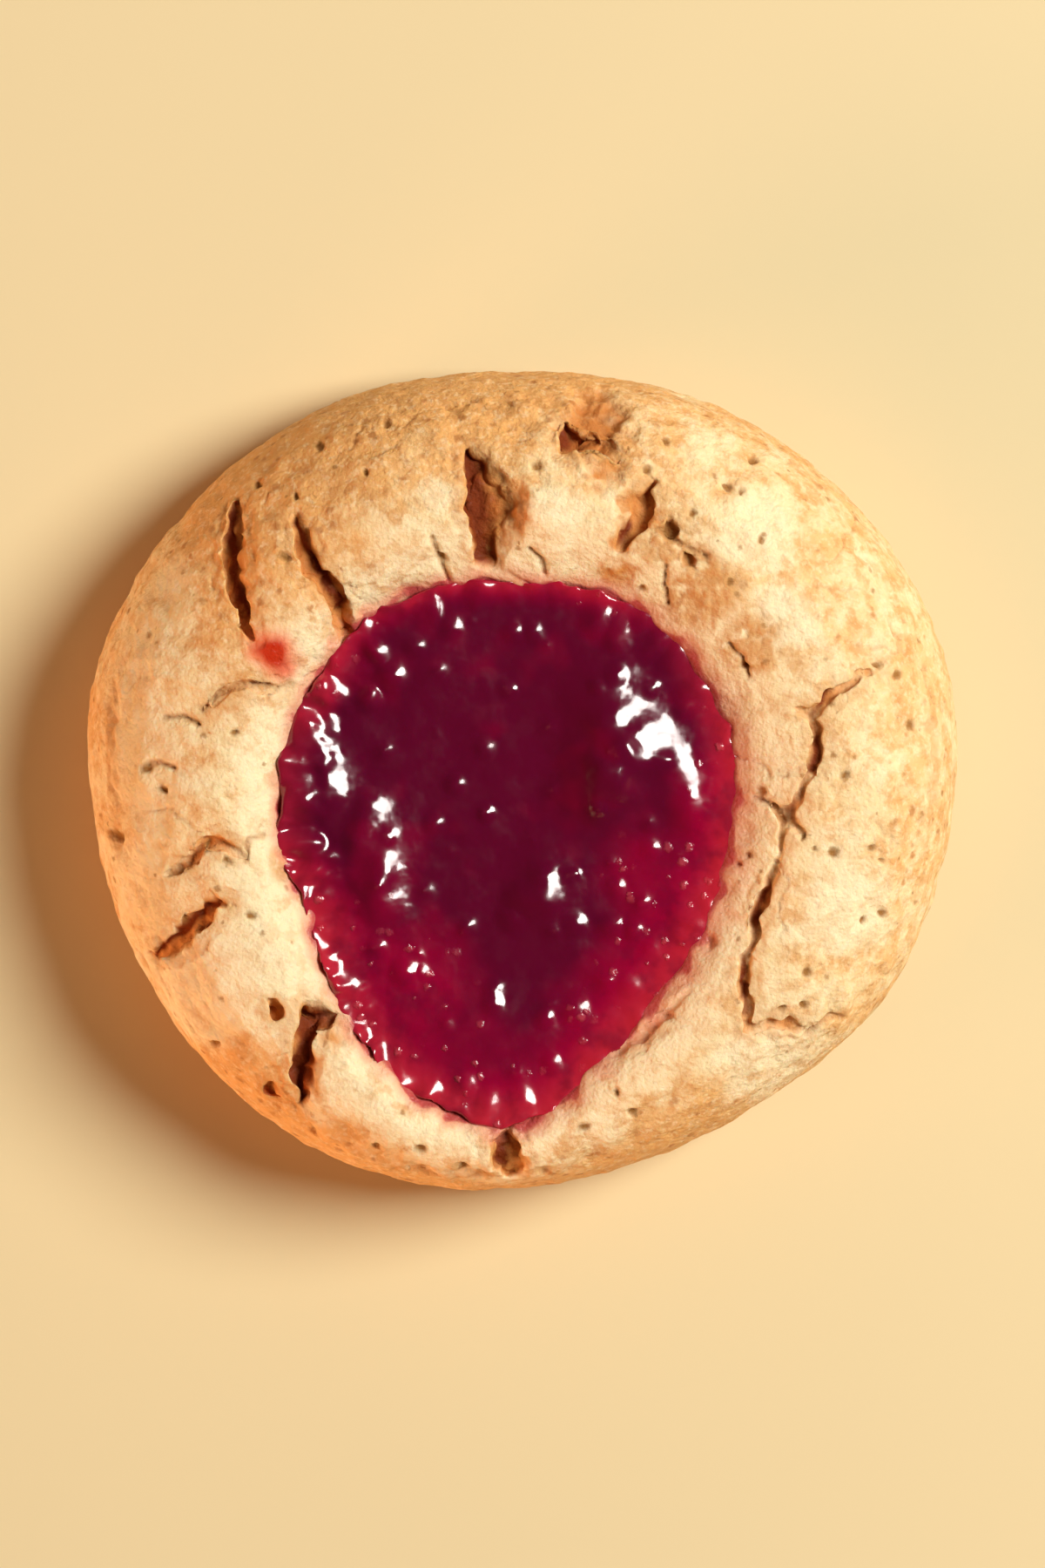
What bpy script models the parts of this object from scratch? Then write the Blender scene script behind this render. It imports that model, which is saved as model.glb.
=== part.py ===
"""Thumbprint cookie: a thick round of crumbly dough, pressed in the middle and filled with seeded berry jam.

Two solids, in metres, +Z up, standing on z = 0 with the origin under the middle of the cookie:
    cookie_dough  the baked dough, with its thumbprint, crest, rounded shoulder, flat base and cracks
    jam           the jam that fills the thumbprint, with the seeds that stand proud of it
Sizes below are in millimetres. Seen from above, +X is to the right and +Y is away from the viewer.
"""

import math
import random
from collections import namedtuple

import bmesh
import bpy
from mathutils import Matrix, Vector, noise

MM = 0.001

# Heights above the table
CREST_HEIGHT = 15.3
WIDEST_HEIGHT = 4.4
JAM_EDGE_HEIGHT = 13.2
THUMBPRINT_FLOOR_HEIGHT = 6.2

# Outlines seen from above, as radii from the middle of the jam at even steps, anticlockwise from +X
JAM_MIDDLE = Vector((-0.7, -3.25))
JAM_RADII = (
    *(14.6, 16.0, 16.9, 17.6, 17.4, 17.8, 17.0, 16.1),
    *(15.2, 14.2, 15.9, 18.0, 19.2, 15.8, 14.3, 14.1),
)
COOKIE_RADII = (
    *(29.4, 31.4, 31.8, 31.6, 30.9, 31.2, 30.7, 30.1),
    *(28.0, 26.5, 25.6, 24.8, 24.0, 23.9, 25.0, 27.6),
)

# The rim: its crest lies this share of the way from the jam to the outside, and a narrow rim is lower.
CREST_SHARE = 0.31
USUAL_RIM_WIDTH = 13.0
CREST_DROP_PER_WIDTH = 0.2
BASE_TUCK = 1.9
FLOOR_FLATNESS = 2.8

# Swollen patches of the rim between its cracks: middle on the plan, radius and rise
Lobe = namedtuple("Lobe", "x y radius rise")
LOBES = (
    Lobe(-16.4, 15.6, 2.8, 0.8),
    Lobe(-15.4, 11.4, 2.4, 0.7),
    Lobe(-9.4, 19.4, 4.6, 0.6),
    Lobe(1.7, 18.8, 2.8, 0.8),
    Lobe(15.0, 14.5, 6.0, 0.4),
    Lobe(22.6, -1.5, 5.6, 0.7),
    Lobe(11.0, -18.5, 5.4, 0.5),
    Lobe(-9.2, -22.2, 3.8, 0.7),
    Lobe(-19.9, -13.8, 4.6, 1.0),
    Lobe(-21.0, -0.5, 5.0, 0.6),
)
GRAIN_SIZE = 5.0
GRAIN_RISE = 0.22

SEGMENTS = 96
FLOOR_RINGS = (0.0, 0.3, 0.55, 0.75, 0.9, 1.0)
RIM_RINGS = (0.08, 0.16, 0.24, 0.32, 0.41, 0.5, 0.59, 0.68, 0.77, 0.85, 0.92, 0.97, 1.0)
SIDE_RINGS = (0.25, 0.5, 0.75, 1.0)

# A crack follows a route over the plan. Its widths are for even steps along the route, its depth is for its
# widest place, and its lean puts the bottom under one lip: +1 the left lip as the route runs, -1 the right.
Crack = namedtuple("Crack", "route widths depth lean")
CRACKS = {
    "finger_left": Crack(
        ((-18.8, 19.8), (-19.2, 16.4), (-19.0, 13.8), (-17.8, 10.4)),
        (0.3, 1.2, 1.3, 0.5),
        depth=2.4,
        lean=-0.2,
    ),
    "finger_right": Crack(
        ((-15.1, 18.8), (-14.7, 16.6), (-14.0, 15.0), (-12.5, 13.4), (-11.6, 10.2)),
        (0.3, 0.9, 1.2, 1.3, 1.1),
        depth=2.4,
        lean=-0.2,
    ),
    "wedge": Crack(
        ((-3.4, 23.3), (-2.6, 21.6), (-1.9, 20.1), (-1.7, 18.4), (-1.8, 16.8), (-2.4, 15.0)),
        (0.9, 2.6, 4.0, 3.8, 3.1, 1.9),
        depth=3.5,
        lean=-1.0,
    ),
    "hook": Crack(
        ((2.6, 23.3), (4.2, 23.6), (5.7, 23.3), (6.9, 22.3)),
        (1.4, 3.2, 2.4, 0.6),
        depth=1.7,
        lean=-1.0,
    ),
    "hook_tail": Crack(
        ((8.5, 21.2), (7.5, 19.4), (6.8, 17.8), (6.1, 16.2)),
        (0.9, 2.5, 2.1, 0.7),
        depth=1.8,
        lean=1.0,
    ),
    "long_upper": Crack(
        (
            *((24.2, 8.8), (22.1, 7.5), (20.3, 6.5), (19.2, 5.6)),
            *((19.5, 3.8), (19.6, 2.4), (18.6, 0.8), (17.4, -1.4)),
        ),
        (0.3, 0.5, 0.8, 0.5, 0.6, 0.8, 0.5, 0.7),
        depth=1.4,
        lean=0.0,
    ),
    "long_lower": Crack(
        (
            *((17.4, -1.4), (17.1, -4.4), (15.8, -7.3), (15.1, -10.1)),
            *((14.5, -12.1), (15.0, -14.0), (15.1, -16.0)),
        ),
        (0.7, 0.4, 0.9, 0.5, 0.8, 0.6, 0.6),
        depth=1.5,
        lean=0.0,
    ),
    "long_foot": Crack(
        ((14.8, -15.7), (16.6, -15.4), (17.8, -15.4), (19.0, -16.2)),
        (0.6, 0.5, 0.8, 0.3),
        depth=1.2,
        lean=0.0,
    ),
    "branch_in": Crack(((19.3, 5.6), (17.5, 5.7), (15.1, 6.3)), (0.5, 0.4, 0.3), depth=1.0, lean=0.0),
    "branch_out": Crack(((15.9, 0.2), (17.4, -1.4), (19.1, -2.8)), (0.3, 0.5, 0.3), depth=0.9, lean=0.0),
    "left_upper": Crack(
        ((-24.1, -5.5), (-22.5, -4.8), (-21.3, -3.3), (-20.2, -3.5), (-18.3, -4.2)),
        (0.3, 0.5, 0.8, 0.8, 0.3),
        depth=1.5,
        lean=0.0,
    ),
    "left_lower": Crack(
        ((-25.2, -11.4), (-23.2, -10.0), (-21.4, -8.3), (-20.1, -7.0), (-18.6, -7.7)),
        (0.4, 1.5, 1.5, 0.9, 0.3),
        depth=2.2,
        lean=-0.8,
    ),
    "corner": Crack(
        ((-13.2, -14.2), (-13.9, -16.2), (-14.5, -18.6), (-14.6, -21.6)),
        (2.6, 2.8, 1.6, 0.5),
        depth=3.8,
        lean=-0.9,
    ),
    "bottom_nick": Crack(((-0.8, -22.4), (-1.2, -24.1), (-0.4, -26.0)), (0.4, 2.3, 0.9), depth=2.5, lean=0.0),
    "jam_side_fold": Crack(((5.4, -17.8), (8.4, -15.9), (11.4, -13.1)), (0.3, 0.6, 0.3), depth=1.0, lean=0.0),
    "left_hairline": Crack(((-21.4, 5.4), (-19.0, 7.2), (-15.8, 6.6)), (0.3, 0.6, 0.4), depth=1.2, lean=0.0),
}
# Half a crack's outline at unit width and depth, from above its lip to its bottom: where it drops sheer, and
# where a lean of 1 opens it to a slope
SHEER_SIDE = ((0.5, 0.4), (0.5, 0.0), (0.56, -0.6), (0.48, -1.0))
SLOPING_SIDE = ((0.5, 0.4), (0.5, 0.0), (-0.02, -0.4), (-0.12, -1.0))
CRACK_STEP = 1.2
CRACK_WANDER = 0.12
WANDER_SIZE = 0.8

# A pit is half an egg pressed in from above: middle on the plan, length, width and depth
Pit = namedtuple("Pit", "x y length width depth")
PITS = (
    Pit(3.1, 23.4, 1.7, 2.4, 4.6),
    Pit(-16.6, -14.5, 1.1, 1.7, 2.4),
    Pit(-16.6, -19.9, 1.1, 1.7, 2.4),
    Pit(11.0, 15.6, 1.6, 0.8, 1.0),
    Pit(13.6, 20.4, 1.3, 0.9, 0.9),
    Pit(9.9, 17.8, 0.9, 1.2, 1.0),
)

# The jam keeps this much air to the dough. Its face sags from its edge to its middle and is softly lumpy.
CLEARANCE = 0.35
JAM_SEGMENTS = 56
JAM_RINGS = 20
JAM_SAG = 0.5
JAM_RIPPLE_SIZE = 5.0
JAM_RIPPLE = 0.25
JAM_LUMPS = (
    Lobe(6.0, 8.4, 3.4, 0.75),
    Lobe(9.4, 1.6, 3.0, 0.6),
    Lobe(-9.6, -3.4, 2.4, 0.6),
    Lobe(1.6, -7.0, 2.6, 0.5),
    Lobe(-6.0, 8.6, 3.0, 0.45),
    Lobe(-2.4, -15.6, 3.0, 0.5),
)

SEED_COUNT = 44
SEED_SIDES = (1.9, 1.3, 1.1)
SEED_SCALES = (0.75, 1.1)
SEED_SUNK = (0.1, 0.38)
SEED_TILT = 0.35
SEED_EDGE_SHARE = 0.9
GOLDEN_TURN = math.pi * (3 - math.sqrt(5))


def clear_scene():
    for old in list(bpy.data.objects):
        bpy.data.objects.remove(old, do_unlink=True)


def new_collection(name):
    made = bpy.data.collections.new(name)
    bpy.context.scene.collection.children.link(made)
    return made


def food_material(name, colour, roughness):
    material = bpy.data.materials.new(name)
    material.use_nodes = True
    shader = material.node_tree.nodes["Principled BSDF"]
    shader.inputs["Base Color"].default_value = (*colour, 1.0)
    shader.inputs["Roughness"].default_value = roughness
    shader.inputs["Metallic"].default_value = 0.0
    return material


def smooth_through(values, place, closed=False):
    """The value at a place, counted in steps, on a smooth curve through evenly spaced values."""
    first = math.floor(place)
    t = place - first
    steps = range(first - 1, first + 3)
    if closed:
        a, b, c, d = (values[step % len(values)] for step in steps)
    else:
        a, b, c, d = (values[min(max(step, 0), len(values) - 1)] for step in steps)
    return b + 0.5 * t * (c - a + t * (2 * a - 5 * b + 4 * c - d + t * (3 * (b - c) + d - a)))


def outline_radius(radii, angle):
    return smooth_through(radii, angle / math.tau % 1.0 * len(radii), closed=True)


def rise_of(lobes, x, y):
    """How much a set of swollen patches lifts a place of the plan."""
    rise = 0.0
    for lobe in lobes:
        away = math.hypot(x - lobe.x, y - lobe.y) / lobe.radius
        rise += lobe.rise * math.exp(-(away**2))
    return rise


# ---- dough -----------------------------------------------------------------------------------------------


def crest_height(angle):
    width = outline_radius(COOKIE_RADII, angle) - outline_radius(JAM_RADII, angle)
    return CREST_HEIGHT - CREST_DROP_PER_WIDTH * max(USUAL_RIM_WIDTH - width, 0.0)


def dough_profile(angle, reach):
    """Radius from the jam's middle and height of the dough's skin, before its lobes.

    reach runs 0 to 1 over the thumbprint, 1 to 2 over the crest and down to the widest line,
    and 2 to 3 under it to the edge of the flat base.
    """
    jam_radius = outline_radius(JAM_RADII, angle)
    outer = outline_radius(COOKIE_RADII, angle)
    if reach <= 1.0:
        rise = JAM_EDGE_HEIGHT - THUMBPRINT_FLOOR_HEIGHT
        return jam_radius * reach, THUMBPRINT_FLOOR_HEIGHT + rise * reach**FLOOR_FLATNESS
    crest = crest_height(angle)
    if reach <= 2.0:
        share = reach - 1.0
        radius = jam_radius + (outer - jam_radius) * share
        if share < CREST_SHARE:
            climb = math.sin(0.5 * math.pi * share / CREST_SHARE)
            return radius, JAM_EDGE_HEIGHT + (crest - JAM_EDGE_HEIGHT) * climb
        fall = (share - CREST_SHARE) / (1.0 - CREST_SHARE)
        return radius, WIDEST_HEIGHT + (crest - WIDEST_HEIGHT) * math.sqrt(max(1.0 - fall**2, 0.0))
    turn = 0.5 * math.pi * (reach - 2.0)
    return outer - BASE_TUCK * (1.0 - math.cos(turn)), WIDEST_HEIGHT * (1.0 - math.sin(turn))


def dough_point(angle, reach):
    """The place of the dough's skin; its lobes and coarse grain fade out down to the widest line."""
    radius, height = dough_profile(angle, reach)
    x = JAM_MIDDLE.x + radius * math.cos(angle)
    y = JAM_MIDDLE.y + radius * math.sin(angle)
    grain = GRAIN_RISE * noise.noise(Vector((x, y, height)) / GRAIN_SIZE)
    lobes = rise_of(LOBES, x, y) if reach > 1.0 else 0.0
    above_widest = min(max(height / WIDEST_HEIGHT - 1.0, 0.0), 1.0)
    return Vector((x, y, height + (grain + lobes) * above_widest))


def dough_top(x, y):
    """Height of the dough's top over a place of the plan, inside its widest line."""
    away = Vector((x, y)) - JAM_MIDDLE
    angle = math.atan2(away.y, away.x)
    jam_radius = outline_radius(JAM_RADII, angle)
    if away.length <= jam_radius:
        reach = away.length / jam_radius
    else:
        reach = 1.0 + (away.length - jam_radius) / (outline_radius(COOKIE_RADII, angle) - jam_radius)
    return dough_point(angle, min(reach, 2.0)).z


def mesh_object(name, bm, collection):
    """An object of its own from a bmesh in millimetres, its faces turned outwards."""
    bmesh.ops.recalc_face_normals(bm, faces=bm.faces)
    bmesh.ops.scale(bm, vec=(MM, MM, MM), verts=bm.verts)
    mesh = bpy.data.meshes.new(name)
    bm.to_mesh(mesh)
    bm.free()
    made = bpy.data.objects.new(name, mesh)
    collection.objects.link(made)
    return made


def make_dough(collection):
    """A disc of rings is spun first, each ring's radius being its reach; then it is drawn over the form."""
    reaches = [*FLOOR_RINGS, *(1.0 + ring for ring in RIM_RINGS), *(2.0 + ring for ring in SIDE_RINGS)]
    bm = bmesh.new()
    line = [bm.verts.new((reach, 0.0, 0.0)) for reach in reaches]
    edges = [bm.edges.new(ends) for ends in zip(line, line[1:])]
    bmesh.ops.spin(
        bm, geom=line + edges, cent=(0, 0, 0), axis=(0, 0, 1), angle=math.tau, steps=SEGMENTS, use_merge=True
    )
    bmesh.ops.remove_doubles(bm, verts=bm.verts, dist=0.001)
    bmesh.ops.holes_fill(bm, edges=[edge for edge in bm.edges if edge.is_boundary], sides=0)
    for vert in bm.verts:
        vert.co = dough_point(math.atan2(vert.co.y, vert.co.x), vert.co.xy.length)
    return mesh_object("cookie_dough", bm, collection)


# ---- cracks and pits -------------------------------------------------------------------------------------


def crack_side(slope):
    """Half of a crack's outline, from sheer at 0 to sloping at 1."""
    return [Vector(sheer).lerp(Vector(sloping), slope) for sheer, sloping in zip(SHEER_SIDE, SLOPING_SIDE)]


def crack_section(crack, collection):
    """The outline across the crack, drawn for unit width, so that a width scales it."""
    depth_for_width = crack.depth / max(crack.widths)
    left, right = crack_side(max(-crack.lean, 0.0)), crack_side(max(crack.lean, 0.0))
    outline = [*((-place.x, place.y) for place in left), *((place.x, place.y) for place in reversed(right))]
    curve = bpy.data.curves.new("crack_section", "CURVE")
    spline = curve.splines.new("POLY")
    spline.points.add(len(outline) - 1)
    spline.use_cyclic_u = True
    for point, (x, y) in zip(spline.points, outline):
        point.co = (x * MM, y * depth_for_width * MM, 0.0, 1.0)
    section = bpy.data.objects.new("crack_section", curve)
    collection.objects.link(section)
    return section


def crack_cutter(name, crack, collection):
    """A blade along the crack, riding on the dough's top, as a closed mesh."""
    section = crack_section(crack, collection)
    curve = bpy.data.curves.new(name, "CURVE")
    curve.dimensions = "3D"
    curve.twist_mode = "Z_UP"
    curve.bevel_mode = "OBJECT"
    curve.bevel_object = section
    curve.use_fill_caps = True
    route = [Vector(place) for place in crack.route]
    length = sum((b - a).length for a, b in zip(route, route[1:]))
    steps = round(length / CRACK_STEP)
    spline = curve.splines.new("POLY")
    spline.points.add(steps)
    for step, point in enumerate(spline.points):
        along = step / steps
        spot = smooth_through(route, along * (len(route) - 1))
        wander = CRACK_WANDER * noise.noise(Vector((spot.x, spot.y, 0.0)) / WANDER_SIZE)
        x, y = spot.x + wander, spot.y - wander
        point.co = (x * MM, y * MM, dough_top(x, y) * MM, 1.0)
        point.radius = smooth_through(crack.widths, along * (len(crack.widths) - 1))
    blade = bpy.data.objects.new(name + "_route", curve)
    collection.objects.link(blade)
    bpy.context.view_layer.update()
    mesh = bpy.data.meshes.new_from_object(blade.evaluated_get(bpy.context.evaluated_depsgraph_get()))
    bm = bmesh.new()
    bm.from_mesh(mesh)
    bmesh.ops.remove_doubles(bm, verts=bm.verts, dist=1e-6)
    bmesh.ops.recalc_face_normals(bm, faces=bm.faces)
    bm.to_mesh(mesh)
    bm.free()
    cutter = bpy.data.objects.new(name, mesh)
    cutter.matrix_world = blade.matrix_world
    collection.objects.link(cutter)
    for helper in (blade, section):
        bpy.data.objects.remove(helper, do_unlink=True)


def pit_cutter(name, pit, collection):
    bm = bmesh.new()
    bmesh.ops.create_icosphere(bm, subdivisions=1, radius=0.5)
    stretch = Matrix.Diagonal((pit.length, pit.width, 2 * pit.depth, 1.0))
    place = Matrix.Translation((pit.x, pit.y, dough_top(pit.x, pit.y)))
    bmesh.ops.transform(bm, matrix=place @ stretch, verts=bm.verts)
    mesh_object(name, bm, collection)


def cut_cracks(dough, cutters):
    for name, crack in CRACKS.items():
        crack_cutter("crack_" + name, crack, cutters)
    for index, pit in enumerate(PITS):
        pit_cutter(f"pit_{index}", pit, cutters)
    for cutter in cutters.objects:
        cutter.display_type = "WIRE"
        cutter.hide_render = True
    cut = dough.modifiers.new("cracks", "BOOLEAN")
    cut.operation = "DIFFERENCE"
    cut.operand_type = "COLLECTION"
    cut.collection = cutters
    cut.solver = "EXACT"


# ---- jam -------------------------------------------------------------------------------------------------


def jam_point(angle, share, upper):
    """A point of the jam's skin: share runs from its middle, 0, to its edge, 1."""
    radius = (outline_radius(JAM_RADII, angle) - CLEARANCE) * share
    x = JAM_MIDDLE.x + radius * math.cos(angle)
    y = JAM_MIDDLE.y + radius * math.sin(angle)
    ripple = JAM_RIPPLE * noise.noise(Vector((x, y, 90.0)) / JAM_RIPPLE_SIZE)
    inland = 1.0 - share**4
    top = JAM_EDGE_HEIGHT - JAM_SAG * (1.0 - share**2) + (ripple + rise_of(JAM_LUMPS, x, y)) * inland
    if upper:
        return Vector((x, y, top))
    return Vector((x, y, min(dough_top(x, y) + CLEARANCE, top)))


def make_jam(collection):
    """A ball is pressed flat: its upper half becomes the jam's face, its lower half fills the thumbprint."""
    bm = bmesh.new()
    bmesh.ops.create_uvsphere(bm, u_segments=JAM_SEGMENTS, v_segments=JAM_RINGS, radius=1.0)
    for vert in bm.verts:
        share = math.acos(min(abs(vert.co.z), 1.0)) / (0.5 * math.pi)
        upper = vert.co.z > -1e-6
        vert.co = jam_point(math.atan2(vert.co.y, vert.co.x), share, upper)
    return mesh_object("jam", bm, collection)


def make_seeds(collection):
    """Seeds spread evenly by the golden turn, the largest first, each lying its own way, partly sunk."""
    draw = random.Random(11)
    scales = sorted((draw.uniform(*SEED_SCALES) for _ in range(SEED_COUNT)), reverse=True)
    places = list(range(SEED_COUNT))
    draw.shuffle(places)
    for index, (scale, place) in enumerate(zip(scales, places)):
        share = SEED_EDGE_SHARE * math.sqrt((place + 0.5) / SEED_COUNT)
        spot = jam_point(place * GOLDEN_TURN, share, True) - Vector((0, 0, draw.uniform(*SEED_SUNK)))
        turn = Matrix.Rotation(draw.uniform(0, math.tau), 4, "Z")
        tilt = Matrix.Rotation(draw.uniform(-SEED_TILT, SEED_TILT), 4, "Y")
        stretch = Matrix.Diagonal((*(scale * side for side in SEED_SIDES), 1.0))
        bm = bmesh.new()
        bmesh.ops.create_icosphere(bm, subdivisions=1, radius=0.5)
        bmesh.ops.transform(bm, matrix=Matrix.Translation(spot) @ turn @ tilt @ stretch, verts=bm.verts)
        mesh_object(f"seed_{index}", bm, collection)


def fuse_seeds(jam, seeds):
    """One union joins the seeds to the jam and is applied."""
    join = jam.modifiers.new("seeds", "BOOLEAN")
    join.operation = "UNION"
    join.operand_type = "COLLECTION"
    join.collection = seeds
    join.solver = "EXACT"
    bpy.context.view_layer.update()
    joined = bpy.data.meshes.new_from_object(jam.evaluated_get(bpy.context.evaluated_depsgraph_get()))
    jam.modifiers.clear()
    jam.data = joined
    for seed in list(seeds.objects):
        bpy.data.objects.remove(seed, do_unlink=True)
    bpy.data.collections.remove(seeds)


def stand_on_origin(outermost, parts):
    """Moves every part so that the origin is under the middle of the outermost one."""
    corners = [Vector(corner) for corner in outermost.bound_box]
    middle = sum(corners, Vector()) / len(corners)
    for part in parts:
        part.data.transform(Matrix.Translation((-middle.x, -middle.y, 0.0)))


def main():
    clear_scene()
    cookie = new_collection("thumbprint_cookie")
    cutters = new_collection("cutters")
    seeds = new_collection("seeds")

    dough = make_dough(cookie)
    cut_cracks(dough, cutters)
    jam = make_jam(cookie)
    make_seeds(seeds)
    fuse_seeds(jam, seeds)
    stand_on_origin(dough, [dough, jam, *cutters.objects])

    dough.data.materials.append(food_material("baked_dough", (0.72, 0.44, 0.19), 0.85))
    jam.data.materials.clear()
    jam.data.materials.append(food_material("berry_jam", (0.17, 0.004, 0.02), 0.12))
    for part in (dough, jam):
        part.data.shade_smooth()


main()
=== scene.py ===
"""The looks of the thumbprint cookie: crumbly baked dough round a pool of seeded berry jam.

Lengths are metres, written as a number of MM. Seen from above, +X is to the right and +Y is away from the
viewer. The tables of places are in millimetres over the cookie's plan, and a place is x, y and a radius.
"""

import math

import bmesh
import bpy
import numpy as np
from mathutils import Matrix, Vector, noise
from mathutils.bvhtree import BVHTree


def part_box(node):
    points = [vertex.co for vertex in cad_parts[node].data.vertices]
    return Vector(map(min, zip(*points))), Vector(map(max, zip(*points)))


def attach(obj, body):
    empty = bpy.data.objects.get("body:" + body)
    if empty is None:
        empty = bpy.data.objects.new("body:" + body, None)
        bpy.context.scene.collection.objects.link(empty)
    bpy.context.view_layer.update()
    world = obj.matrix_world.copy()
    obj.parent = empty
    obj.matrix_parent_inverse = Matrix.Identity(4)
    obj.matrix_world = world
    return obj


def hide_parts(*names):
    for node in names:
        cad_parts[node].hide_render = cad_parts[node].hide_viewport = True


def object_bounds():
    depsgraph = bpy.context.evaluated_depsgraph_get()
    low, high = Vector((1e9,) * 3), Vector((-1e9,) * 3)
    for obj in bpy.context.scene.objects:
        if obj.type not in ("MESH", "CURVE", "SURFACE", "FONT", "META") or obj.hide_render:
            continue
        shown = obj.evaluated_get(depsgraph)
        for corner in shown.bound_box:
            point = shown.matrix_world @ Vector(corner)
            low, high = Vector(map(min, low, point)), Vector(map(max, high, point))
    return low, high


MM = 0.001
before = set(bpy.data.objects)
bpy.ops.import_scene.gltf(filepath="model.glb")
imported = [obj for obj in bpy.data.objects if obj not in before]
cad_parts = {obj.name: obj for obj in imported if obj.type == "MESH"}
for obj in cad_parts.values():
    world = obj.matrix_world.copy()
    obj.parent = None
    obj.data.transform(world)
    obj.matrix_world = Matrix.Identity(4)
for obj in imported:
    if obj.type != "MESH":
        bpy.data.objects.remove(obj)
cad_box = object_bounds()

# ---- Baked dough -----------------------------------------------------------------------------------------
# A ball of almond and butter dough, pressed in the middle with a thumb and baked until its rim split. The top
# stays pale and sandy, with dark specks of almond skin; the shoulder and the foot turn golden brown, and the
# broken dough inside the cracks is browner still. The colour also holds painted shade, darker deep in the
# cracks, along their sheer sides and in the hairlines, and painted light and shade on the right side and the
# left edge.

# The side of the mesh's faces, the share of them kept where nothing shows, and the share of all of them
# that is kept at the end, when the flattest ones are merged
DOUGH_VOXEL = 0.2 * MM
HIDDEN_KEPT = 0.06
FACES_KEPT = 0.61

# Relief and uneven edges are soft noise: the size of its patches, how far it reaches, and its seed
SWELLING = (3.6 * MM, 0.14 * MM, 0.0)
LUMPS = (1.25 * MM, 0.1 * MM, 1.0)
SAND = (0.5 * MM, 0.035 * MM, 2.0)
RAGGED_CRACK = (0.9 * MM, 0.22 * MM, 7.0)
SHADE_LINE_EDGE = (0.8 * MM, 0.2 * MM, 83.0)
HOLLOW_EDGE = (1.2 * MM, 0.9 * MM, 67.0)
FINE_HOLLOW_EDGE = (0.5 * MM, 0.4 * MM, 69.0)
CRUMB_PATCHES = (0.8 * MM, 0.9, 71.0)
DOT_EDGE = (0.5 * MM, 0.15 * MM, 19.0)
FAINT_PATCHES = (5.0 * MM, 1.0, 11.0)
FAINT_COURSE = (4.2 * MM, 1.0, 13.0)
FAINT_TREMBLE = (0.9 * MM, 0.12, 17.0)
INNER_RIM_EDGE = (3.0 * MM, 1.2 * MM, 89.0)
PALE_EDGE = (2.0 * MM, 0.8 * MM, 97.0)
STAIN_EDGE = (1.3 * MM, 0.7 * MM, 31.0)
SMEAR_EDGE = (1.2 * MM, 0.35, 37.0)

# Cracks and lines wander sideways, least of all low down: the size of the noise, how far it reaches, and its
# seeds for x and y
WIDE_WANDER = (2.1 * MM, 0.34 * MM, 23.0, 29.0)
FINE_WANDER = (0.8 * MM, 0.1 * MM, 24.0, 30.0)
LIP_WANDER = (0.85 * MM, 0.34 * MM, 53.0, 59.0)
LOW_WANDER = 0.3

# The plan of the cracks: its step, and how many steps its lid spans, is blurred and looks to each side
PLAN_STEP = 0.3 * MM
LID_REACH = 6
LID_SMOOTHING = 6
SIDE_REACH = 4
LIP_REACH = 3

# Where a crack starts and is full: its depth below the lid, its height, and the height of what lies beside it
CRACK_DEPTHS = (0.2 * MM, 0.8 * MM)
DEEP_DEPTHS = (1.1 * MM, 2.8 * MM)
SHADE_LINE_DEPTHS = (0.25 * MM, 0.7 * MM)
CRACKS_ABOVE = (7.5 * MM, 9.5 * MM)
SIDE_HEIGHTS = (4.0 * MM, 8.0 * MM)
LIP_DEPTHS = (0.35 * MM, 1.2 * MM)
LIPS_FROM = 0.3
LIP_SMOOTHING = 4

# Cracks that hardly open: a place, and the share of their depth that is closed
CLOSED_CORE = 0.75
CLOSED_CRACKS = (
    (-18.6, 6.4, 4.2, 0.8), (-20.0, -4.4, 4.4, 0.45), (17.4, 5.4, 7.0, 0.42), (16.6, -4.6, 6.6, 0.45),
    (16.4, -13.6, 5.6, 0.42), (6.2, 22.7, 1.9, 0.8), (-12.9, -16.9, 1.5, 0.8), (8.6, -15.8, 4.0, 0.5),
    (13.6, 20.4, 1.6, 0.65), (11.0, 15.6, 1.6, 0.5),
)

# The widest crack has a sheer side along this line, and its floor rises from there to the other side
WEDGE_LINE = ((-3.9, 23.4), (-3.2, 14.6))
WEDGE_WIDTH = 3.6 * MM
WEDGE_OVERLAP = 0.2 * MM
WEDGE_DEPTH = 1.5 * MM
WEDGE_LEAST = 0.35 * MM
WEDGE_CURVE = 1.2

# Places where crumbs lie in a crack up to a certain depth, which grows by the slope outside the place's core
FLOOR_CORE = 0.7
FLOOR_SLOPE = 3.0
CRACK_FLOORS = (
    (3.9, 23.4, 2.2, 0.7), (7.0, 18.8, 3.6, 0.9), (-14.4, -18.2, 4.4, 1.6), (-19.0, 15.0, 6.0, 1.3),
    (-13.4, 14.6, 5.6, 1.3), (-0.8, -24.2, 2.6, 0.9), (-22.0, -9.0, 4.4, 0.9),
)

# The share by which every crack is filled below a certain depth
CRACK_FILL = 0.45
FILLED_BELOW = 0.9 * MM
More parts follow.
